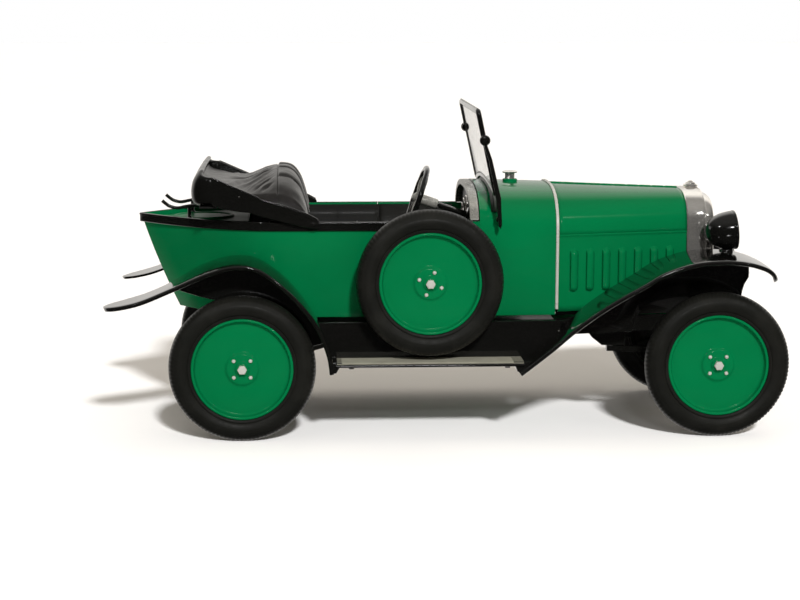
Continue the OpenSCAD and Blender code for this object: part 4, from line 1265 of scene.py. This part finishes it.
def make_windscreen():
    """Round frame with thicker uprights above its pivot, glass in a rubber channel, knobs and a top strip."""
    outline = screen_outline(0.6)
    path = [on_screen(y, z) for y, z in outline]
    radii = [0.82 if z > 1 and abs(y) > 30 else 0.68 for y, z in outline]
    rings = tube(path + [path[0]], radii + [radii[0]], 14, capped=False)
    piece("screen_frame_rod", *rings, BLACK, ["windscreen_frame"], 50, body="windscreen")
    inner = screen_outline(1.35)
    channel = tube([on_screen(y, z) for y, z in inner + inner[:1]], 0.34, 8, capped=False)
    piece("screen_channel", *channel, RUBBER, sharp=50, body="windscreen")
    glass = frame["nodes"]["windscreen_glass"].data.materials
    glass.clear()
    glass.append(SCREEN_GLASS)
    parts = []
    for side in (1, -1):
        pivot = (SCREEN_X, side * 32.6, PIVOT_Z)
        parts.append(turned([(0.7, -0.2), (0.7, 2.5), (1.35, 2.55), (1.62, 2.7), (1.7, 3.0), (1.62, 3.3),
                             (1.35, 3.5), (0.6, 3.58), (0, 3.6)], pivot, (0, side, 0), 36))
        parts.append(turned([(0, 0.6), (1.25, 0.5), (1.4, 0.2), (1.4, -0.4), (0.6, -0.6)],
                            (SCREEN_X, side * 32.9, PIVOT_Z), (0, side, 0), 32))
    piece("screen_knobs", *joined(*parts), BLACK, body="windscreen")
    reach = SCREEN_HALF - 1.6
    bar = [on_screen(mix(-reach, reach, k / 24), outline[0][1] + 0.72) for k in range(25)]
    piece("screen_top_strip", *tube(bar, 0.3, 10), DULL_SILVER, body="windscreen")


def make_screen_arms():
    outer = node_box("windscreen_arms")[1].y
    inner = outer - 1.4
    blade = [(75.5, PIVOT_Z - 0.9), (76.6, PIVOT_Z - 0.9), (78.4, 88), (81.25, 76), (81.65, 67.4),
             (81.1, 66.1), (80.4, 67.2), (79.75, 75), (77.3, 87.6)]
    for side, name in SIDES:
        eye = turned([(0.78, 0), (1.5, 0), (1.5, 1.4), (0.78, 1.4), (0.78, 0)],
                     (SCREEN_X, side * inner, PIVOT_Z), (0, side, 0), 36)
        stud = tube([(80.7, side * 31.3, 69), (80.7, side * (inner + 0.3), 69)], 1.0)
        made = piece(f"screen_arm_{name}", *joined(flat_plate(blade, side * inner, side * outer), eye, stud),
                     BLACK, shared("windscreen_arms", side))
        bevelled(made, 0.3, 3)
    a, b = section_between(DASH, STRIP, (79.3 - DASH_X) / (STRIP_X - DASH_X))[1:3]
    angles = [mix(0.4, math.pi - 0.4, i / 60) for i in range(61)]
    profile = [(-0.9, -0.1), (-0.7, 0.35), (-0.3, 0.75), (-0.1, 1.15), (0.15, 1.2), (0.35, 0.85), (0.8, 0.4),
               (1.1, -0.1)]
    rings = []
    for t in angles:
        y, z = arch_point(a, b, t)
        rings.append([(79.6 + dx, y + math.cos(t) * d, z + math.sin(t) * d) for dx, d in profile])
    lofted("cowl_gasket", rings, RUBBER, closed=True, caps=True)


# ------------------------------------------------------------------ cockpit


def on_column(along, out=0.0, angle=0.0):
    """A place on the steering column: along it from the hub, and out from its middle at an angle."""
    joint = frame_joint("steering_wheel_turn")
    hub = (Vector(joint["pos_m"]) - ORIGIN) / MM
    axis = -Vector(joint["axis"])
    side = Vector((0, 1, 0))
    other = axis.cross(side)
    return hub + axis * along + (side * math.cos(angle) + other * math.sin(angle)) * out


def make_steering():
    axis = on_column(1) - on_column(0)
    hub = on_column(0)
    steps = 96
    rim = [on_column(0, 9.9, math.tau * i / steps) for i in range(steps + 1)]
    grip = [0.92 if (i // 4) % 2 else 0.86 for i in range(steps + 1)]
    piece("steering_rim", *tube(rim, grip, 14, capped=False), BLACK, ["steering_wheel"], 50,
          body="steering_wheel")
    spokes = []
    for i in range(4):
        a = math.tau * (i + 0.5) / 4
        shares = [k / 10 for k in range(11)]
        path = [on_column(0.35 - 0.5 * math.sin(math.pi * t), mix(1.0, 9.6, t), a) for t in shares]
        spokes.append(tube(path, [mix(0.62, 0.42, t) for t in shares], 12))
    boss = turned([(0, -1.5), (0.8, -1.45), (1.1, -1.1), (1.5, -0.8), (1.75, -0.3), (1.75, 0.4), (1.35, 0.8),
                   (1.25, 1.0), (1.55, 1.2), (1.62, 1.5), (1.62, 6.4), (1.45, 6.9), (0.7, 7.0)],
                  hub, axis, 40)
    piece("steering_spokes", *joined(boss, *spokes), DULL_SILVER, body="steering_wheel", slot="nickel")
    shaft = [on_column(7.0), on_column(28)]
    piece("steering_shaft", *tube(shaft, 0.6, 16), BLACK, body="steering_wheel")
    refined("steering_column", BLACK, 0.15)


def make_dash():
    """Dashboard with three dials and two switches, and the bright hoop around it."""
    refined("dashboard", SATIN_BLACK, 0.15)
    refined("dash_hoop", DULL_SILVER, 0.3)
    face_x = node_box("dashboard")[0].x
    bezels, dials, marks = [], [], []
    for y, z, r in ((0, 70.2, 3.6), (9.5, 69.6, 2.4), (17, 68, 1.6)):
        spot = (face_x, y, z)
        back = (-1, 0, 0)
        bezels.append(turned([(r + 0.02, -0.6), (r + 0.02, 0.05), (r - 0.15, 0.28), (r - 0.4, 0.3),
                              (r - 0.62, 0.1), (r - 0.62, 0.0)], spot, back, 48))
        dials.append(turned([(r - 0.55, 0.04), (r * 0.4, 0.05), (0, 0.06)], spot, back, 48))
        ticks = 12
        for i in range(ticks):
            a = math.radians(-130 + 260 * i / (ticks - 1))
            ways = Vector((0, math.sin(a), math.cos(a)))
            first = Vector(spot) + ways * (r - 0.75) + Vector((-0.1, 0, 0))
            marks.append(tube([first, first - ways * (0.32 if i % 3 else 0.5)], 0.045, 6))
        a = math.radians(-70 + 11 * y)
        ways = Vector((0, math.sin(a), math.cos(a)))
        pin = Vector(spot) + Vector((-0.16, 0, 0))
        marks.append(tube([pin - ways * 0.4, pin + ways * (r - 1.1)], [0.12, 0.03], 8))
        marks.append(turned([(0, 0.28), (0.22, 0.24), (0.28, 0.1)], spot, back, 16))
    for y, z in ((-2.2, 63), (6, 63)):
        bezels.append(turned([(0, 1.5), (0.32, 1.4), (0.36, 0.5), (0.75, 0.3), (1.0, 0.1), (1.05, -0.2)],
                             (face_x, y, z), (-1, 0, 0), 32))
    piece("dash_bezels", *joined(*bezels), NICKEL)
    piece("dash_dials", *joined(*dials), DIAL)
    piece("dash_needles", *joined(*marks), BLACK)


def pad(name, size, place, lean, channels, node=None):
    """A crowned leather pad of width, length and thickness, with sewn channels along it and piping. It is
    one closed form that lies at place, turned by lean about Y."""
    width, length, thick = size
    across, down = 84, 26
    turn = Matrix.Rotation(lean, 3, "Y")
    seam = 0.35 * thick

    def height(u, v):
        edge_u = 1 - abs(2 * u - 1) ** 5
        edge_v = 1 - abs(2 * v - 1) ** 4
        swell = (max(edge_u, 0) * max(edge_v, 0)) ** 0.38
        channel = abs(math.sin(math.pi * channels * u)) ** 0.5
        fold = 0.03 * noise.noise(Vector((u * 9, v * 5, len(name))))
        return swell * (0.62 + 0.38 * channel) + fold * swell

    def pulled(u, v):
        waist = 0.018 * math.sin(math.pi * u) + 0.03 * math.sin(math.pi * v)
        return mix(u, 0.5, waist * abs(2 * v - 1) ** 2), mix(v, 0.5, 0.96 * waist * abs(2 * u - 1) ** 2)

    def placed(u, v, z):
        pu, pv = pulled(u, v)
        return Vector(place) + turn @ Vector(((pv - 0.5) * length, (pu - 0.5) * width, z))

    layers = []
    for under in (False, True):
        rows = []
        for v in [i / down for i in range(down + 1)]:
            row = []
            for u in [j / across for j in range(across + 1)]:
                h = height(u, v)
                z = seam - seam * max(h, 0) ** 0.4 if under else seam + 0.65 * thick * h
                row.append(placed(u, v, z))
            rows.append(row)
        layers.append(skin(rows))
    made = piece(name, *joined(*layers), LEATHER, [node] if node else (), 70)
    border = ([(k / 40, 0) for k in range(40)] + [(1, k / 14) for k in range(14)]
              + [(1 - k / 40, 1) for k in range(40)] + [(0, 1 - k / 14) for k in range(15)])
    ring = [placed(u, v, seam) for u, v in border]
    piece(f"{name}_piping", *tube(ring, 0.28, 8, capped=False), LEATHER, sharp=60)


SEAT_WIDTH = 51.5


def make_seats():
    """Two bench seats, each a channelled cushion and back on a boxed base."""
    for name, node in (("front", "front_seat"), ("rear", "rear_seat")):
        low, high = node_box(node)
        back_x = low.x + 3
        middle = (back_x + high.x) / 2 + 1.6
        depth = high.x - back_x - 3.6
        pad(f"{name}_cushion", (SEAT_WIDTH, depth, 4.2), (middle, 0, 51.2), math.radians(-3), 9, node=node)
        pad(f"{name}_back", (SEAT_WIDTH, 11.6, 3.8), (back_x + 1.8, 0, 56.4), math.radians(-75), 9)
        block = [(back_x + 5, 39.2), (high.x - 2, 39.2), (high.x - 1, 51), (back_x + 2, 51)]
        base = [flat_plate(block, side * 13, side * 24.5) for side in (-1, 1)]
        board = flat_plate([(back_x - 2.4, 61), (back_x - 1.2, 61.4), (back_x + 2.2, 50),
                            (high.x - 0.8, 50.6), (high.x - 0.8, 49.2), (back_x + 1, 49.2)], -25.6, 25.6)
        made = piece(f"{name}_seat_base", *joined(board, *base), SATIN_BLACK)
        bevelled(made, 0.3)


# ------------------------------------------------------------------ folded hood

ROLL_TOP = [(-12.6, 81.6, 82.2), (-11, 80.6, 80.6), (-6, 80.0, 79.2), (0.6, 79.6, 77), (4.7, 81.0, 76.4),
            (8.1, 82.5, 76.2), (11.3, 83.7, 76), (15.2, 83.4, 74.8), (18.2, 80.4, 73), (20.0, 75.2, 71),
            (21, 70.2, 69.6)]
HOOD_HALF = 31.6
SEAM_X = 11.4
PLEATS = 5


def hood_cloth_point(p, n, y):
    """A place on the hood's cloth: sagging folds behind the seam, pleats lying fore and aft ahead of it."""
    x, middle, side = p
    v = abs(y) / HOOD_HALF
    z = mix(middle, side, v ** 3)
    ahead = ease((x - SEAM_X + 0.2) / 0.9)
    behind = ease((SEAM_X - 0.4 - x) / 4) * ease((x + 9) / 8)
    band = (y / HOOD_HALF + 1) / 2 * PLEATS
    into = band - math.floor(band)
    creases = math.exp(-(into / 0.05) ** 2) + math.exp(-((1 - into) / 0.04) ** 2)
    roof = 0.62 * (1 - into) ** 1.6 - 0.42 * creases
    bolster = ease((0.93 - v) / 0.12)
    lift = ahead * roof * bolster
    fan = y * (1 + 0.05 * (x - SEAM_X)) + 1.6 * noise.noise(Vector((x * 0.13, y * 0.09, 3)))
    lift += behind * bolster * (0.42 * math.sin(fan * 1.15) + 0.2 * math.sin(fan * 2.6 + 1))
    lift -= 0.5 * math.exp(-((x - SEAM_X) / 0.22) ** 2)
    lift += 0.14 * noise.noise(Vector((x * 0.35, y * 0.3, 7)))
    return Vector((x + n.x * lift, y, z + n.y * lift))


def make_hood_cloth():
    low_line = [(21, 69.9), (18.2, 70.2), (5, 74.4), (-11.2, 74.4), (-12.6, 78)]
    top = smooth_line(ROLL_TOP, 12)
    normals = [Vector((-way.y, way.x)) for way in directions([(p.x, p.y) for p in top])]
    across = 150
    rows = []
    for k in range(across + 1):
        y = mix(-HOOD_HALF, HOOD_HALF, k / across)
        edge = ease((1 - abs(y) / HOOD_HALF) / 0.05)
        row = []
        for p, n in zip(top, normals):
            spot = hood_cloth_point(p, n, y)
            spot.z -= (1 - edge) * 1.2
            spot.x -= (1 - edge) * n.x * 0.8
            row.append(spot)
        row += [Vector((x, y, z)) for x, z in low_line[1:]]
        rows.append(row)
    made = piece("hood_cloth", *skin(rows, closed=True, caps=True), HOOD_CLOTH, ["hood_roll"], 62,
                 body="hood")


def rounded_outline(points, radius, steps=5):
    """An outline in x and z with its corners rounded."""
    count = len(points)
    line = []
    for i, p in enumerate(points):
        before = Vector(points[i - 1])
        after = Vector(points[(i + 1) % count])
        corner = Vector(p)
        r = min(radius, (before - corner).length * 0.45, (after - corner).length * 0.45)
        start = corner + (before - corner).normalized() * r
        end = corner + (after - corner).normalized() * r
        for k in range(steps + 1):
            t = k / steps
            line.append(tuple(start * (1 - t) ** 2 + corner * 2 * t * (1 - t) + end * t * t))
    return line


HOOD_REAR_X = -15.6
HOOD_CORNER = 6.2
HOOD_PIVOT = (22.5, 67.9)
HOOD_INNER = 31.9
HOOD_OUTER = 34.4


def make_hood_arms():
    """Side planks of the folded hood, each with a bead along its top edge, its pivot and a rivet."""
    plank = [(-9.1, 82.75), (-9.1, 73.9), (-5.5, 72.9), (-2.7, 72.2), (2.9, 71.6), (4.4, 70.9),
             (9.1, 69.6), (18.4, 67.3), (23.2, 66.3), (24.3, 67.2), (24.4, 69.2), (20, 71.4), (12.2, 74.1),
             (6.5, 75.6), (4.6, 76.8), (-3.2, 80.2), (-7.5, 82.05)]
    line = rounded_outline(plank, 0.9)
    for side, name in SIDES:
        made = piece(f"hood_arm_{name}", *flat_plate(line, side * HOOD_INNER, side * HOOD_OUTER), HOOD_BLACK,
                     shared("hood_boot", side), body="hood")
        bevelled(made, 1.15, 6, 60)
        edge_line = [(-9.0, 82.5), (-7.5, 81.9), (-3.2, 80.0), (4.6, 76.6), (6.5, 75.5), (12.2, 74.0),
                     (20, 71.3), (23.9, 69.3)]
        bead = [(x, side * (HOOD_OUTER - 0.3), z) for x, z in smooth_line(edge_line, 6)]
        pivot = turned([(0.8, -0.3), (0.8, 0.1), (0.62, 0.32), (0.3, 0.45), (0, 0.5)],
                       (HOOD_PIVOT[0], side * HOOD_OUTER, HOOD_PIVOT[1]), (0, side, 0), 24)
        piece(f"hood_arm_bead_{name}", *joined(tube(bead, 0.34, 10), pivot), BLACK, body="hood")
        rivet = turned([(0.3, -0.2), (0.3, 0.05), (0.2, 0.15), (0, 0.18)], (-0.5, side * HOOD_OUTER, 76.6),
                       (0, side, 0), 20)
        piece(f"hood_arm_rivet_{name}", *rivet, STEEL, body="hood")


def make_hood_rim():
    """Crowned rear rim that joins the planks and wraps round the corners, and the floor between them."""
    wall = smooth_line([(2.5, 72.9), (0.5, 74.5), (0, 78), (0.8, 81.7), (2.8, 84.4), (4.0, 84.1), (3.1, 81.6),
                        (2.0, 78.2), (2.1, 75.2), (3.1, 73.9)], 5)
    end = smooth_line([(1.1, 74.3), (0.15, 75.3), (0, 78), (0, 80.8), (0.5, 82.5), (1.9, 82.5), (2.5, 80.9),
                       (2.5, 78), (2.4, 75.3), (2.0, 74.3)], 5)
    edge = HOOD_OUTER + 0.03
    corner_x = HOOD_REAR_X + HOOD_CORNER
    bend_steps = 14
    half = [(HOOD_REAR_X, (edge - HOOD_CORNER) * k / 20, 0.0) for k in range(20)]
    for k in range(bend_steps + 1):
        a = math.pi / 2 * k / bend_steps
        half.append((corner_x - HOOD_CORNER * math.cos(a), edge - HOOD_CORNER * (1 - math.sin(a)), a))
    half.append((corner_x + 0.7, edge - 0.15, math.pi / 2))
    rings = []
    for side, path in ((-1, reversed(half)), (1, half[1:])):
        for x, y, a in path:
            share = ease(a / (math.pi / 2))
            swell = 0.3 * math.cos(math.pi * y / (2 * edge))
            ring = []
            for p, q in zip(wall, end):
                depth, z = mix(p.x, q.x, share), mix(p.y, q.y, share)
                ring.append((x + depth * math.cos(a), side * (y - depth * math.sin(a)), z + swell))
            rings.append(ring)
    lofted("hood_rear_rim", rings, HOOD_BLACK, body="hood", closed=True, caps=True, sharp=70)
    floor = flat_plate([(-13, 72.9), (4, 72.9), (4, 73.5), (-13, 73.5)], -33.1, 33.1)
    bevelled(piece("hood_floor", *floor, SATIN_BLACK, body="hood"), 0.15)


def make_hood_rests():
    """Bent wire rests for the hood, each on a turned post."""
    low, high = node_box("hood_rests")
    rest_y = high.y - 0.55
    deck_z = low.z
    line = smooth_line([(-25.9, 73.3), (-24.6, 72.2), (-23.3, 71.4), (-20.8, 70.9), (-16.5, 71.6),
                        (-7.5, 71.8)], 8)
    for side, name in SIDES:
        wire = tube([(p.x, side * rest_y, p.y) for p in line], 0.56, 14)
        post = turned([(0, 4.3), (0.55, 4.2), (0.55, 1.2), (0.7, 0.9), (1.15, 0.6), (1.3, 0.3), (1.3, -0.2)],
                      (-17.2, side * rest_y, deck_z), (0, 0, 1), 32)
        piece(f"hood_rest_{name}", *joined(wire, post), BLACK, shared("hood_rests", side))


# ------------------------------------------------------------------ chassis and clockwork


def make_chassis():
    for node in ("chassis_frame", "front_axle", "leaf_springs", "tie_rod", "stub_axle_left",
                 "stub_axle_right"):
        refined(node, BLACK, 0.18)


def make_clockwork():
    refined("motor_frame", STEEL, 0.12)
    refined("mainspring", DARK_STEEL, 0.05)
    for node in ("rear_axle", "winding_arbor", "click", "winding_key", "stop_lever"):
        refined(node, STEEL, 0.12)
    for node in ("great_wheel", "centre_wheel", "third_wheel"):
        refined(node, BRASS, 0.08)
    plate_y = node_box("motor_frame")[1].y
    nuts = []
    for x, z in ((-2.8, 29.5), (19, 43), (42.4, 27), (42.4, 45.4)):
        for side in (-1, 1):
            if side < 0 and x > 40 and z > 40:
                continue
            nuts.append(turned([(1.7, 0), (1.7, 0.8), (1.45, 1.05), (0.8, 1.1), (0.8, 1.5), (0, 1.6)],
                               (x, side * plate_y, z), (0, side, 0), 6, (1, 0, 0)))
    made = piece("pillar_nuts", *joined(*nuts), STEEL, sharp=30)
    bevelled(made, 0.1)


# ------------------------------------------------------------------ stage


def make_stage():
    floor = bpy.data.meshes.new("floor")
    reach = 6.0
    floor.from_pydata([(-reach, -reach, 0), (reach, -reach, 0), (reach, reach, 0), (-reach, reach, 0)], [],
                      [(0, 1, 2, 3)])
    made = bpy.data.objects.new("floor", floor)
    scene.collection.objects.link(made)
    paper, shader = material("floor_paper", specular=0.2)
    link(paper, blend_colours(paper, between(paper, noise_map(paper, 60, 3), 0, 1), (0.93, 0.92, 0.91),
                              (0.95, 0.94, 0.93)), shader.inputs["Base Color"])
    shader.inputs["Roughness"].default_value = 0.7
    floor.materials.append(paper)
    made.visible_glossy = False


def add_light(name, kind, watts, way):
    """A light that shines along way, and its data."""
    data = bpy.data.lights.new(name, kind)
    data.energy = watts
    made = bpy.data.objects.new(name, data)
    scene.collection.objects.link(made)
    made.rotation_euler = Vector(way).to_track_quat("-Z", "Y").to_euler()
    return made, data


def area_light(name, place, target, size, watts):
    made, data = add_light(name, "AREA", watts, Vector(target) - Vector(place))
    made.location = place
    data.shape = "RECTANGLE"
    data.size, data.size_y = size


def sun(name, way, strength, angle, colour):
    """A sun for matt surfaces only; mirrored light comes from the sky and the area lights."""
    made, data = add_light(name, "SUN", strength, way)
    made.visible_glossy = False
    data.color = colour
    data.angle = math.radians(angle)


def make_light():
    """A white backdrop, a warm sky for matt surfaces, and a dark room with a pale back wall for gloss. The
    three aren't one physical place: each kind of ray sees its own."""
    world = bpy.data.worlds.new("studio")
    scene.world = world
    world.use_nodes = True
    ways = add(world, "ShaderNodeTexCoord")
    split = add(world, "ShaderNodeSeparateXYZ")
    link(world, ways.outputs["Generated"], split.inputs["Vector"])
    rays = add(world, "ShaderNodeLightPath")

    def ramp(axis, start, end, low, high):
        return between(world, split.outputs[axis], low, high, start, end)

    def joined_node(node, *sources):
        """Links sources to a node's inputs in turn and gives its first output."""
        for target, source in zip(node.inputs, sources):
            link(world, source, target)
        return node.outputs[0]

    def math_node(kind, first, second):
        return joined_node(add(world, "ShaderNodeMath", operation=kind), first, second)

    def choose(factor, first, second):
        return joined_node(add(world, "ShaderNodeMixShader"), factor, first, second)

    def sky(colour, strength=None):
        node = add(world, "ShaderNodeBackground", Color=(*colour, 1))
        if strength:
            link(world, strength, node.inputs["Strength"])
        return node.outputs["Background"]

    wall = math_node("SUBTRACT", ramp("Y", 0.3, 0.7, 0.0, 0.95), ramp("Y", 0.86, 0.995, 0.0, 0.3))
    room = math_node("ADD", wall, ramp("Z", 0.3, 0.9, 0.012, 0.2))
    matt = sky((1, 0.92, 0.81), ramp("Z", 0.0, 0.8, 0.27, 0.35))
    gloss = sky((1, 0.97, 0.92), room)
    seen = math_node("MAXIMUM", rays.outputs["Is Camera Ray"], rays.outputs["Is Transmission Ray"])
    lit = choose(rays.outputs["Is Glossy Ray"], matt, gloss)
    output = world.node_tree.nodes["World Output"]
    link(world, choose(seen, lit, sky((1, 1, 1))), output.inputs["Surface"])
    sun("key", (-0.27, 1.55, -1), 4.3, 5, (1, 1, 1))
    sun("overhead", (-0.1, -0.2, -1), 0.55, 50, (1, 0.92, 0.81))
    area_light("window", (0.03, -0.95, 0.45), (0, 0, 0.05), (0.12, 0.05), 0.9)
    for name, across in (("left", -0.6), ("right", 0.6)):
        area_light(f"lamp_{name}", (across, -0.8, 0.7), (0, 0, 0.04), (0.04, 0.04), 0.4)


# The camera that was fitted to the photo: place in metres, and degrees below level and to the right
CAMERA_PLACE = (-0.04767, -0.66413, 0.13710)
CAMERA_DROP = 8.406
CAMERA_TURN = 2.942


def make_camera():
    data = bpy.data.cameras.new("camera")
    made = bpy.data.objects.new("camera", data)
    scene.collection.objects.link(made)
    made.location = CAMERA_PLACE
    made.rotation_euler = (math.radians(90 - CAMERA_DROP), 0, math.radians(-CAMERA_TURN))
    data.lens = 91.25
    data.sensor_width = 36
    data.clip_start = 0.01
    scene.camera = made
    scene.view_settings.view_transform = "Standard"


make_body()
make_rail()
make_door()
make_tail()
make_cockpit()
make_bonnet()
make_strip()
make_radiator()
make_radiator_core()
make_caps()
make_fenders()
make_valances()
make_boards()
make_wheels()
make_lamps()
make_windscreen()
make_screen_arms()
make_steering()
make_dash()
make_seats()
make_hood_cloth()
make_hood_arms()
make_hood_rim()
make_hood_rests()
make_chassis()
make_clockwork()
make_stage()
make_light()
make_camera()
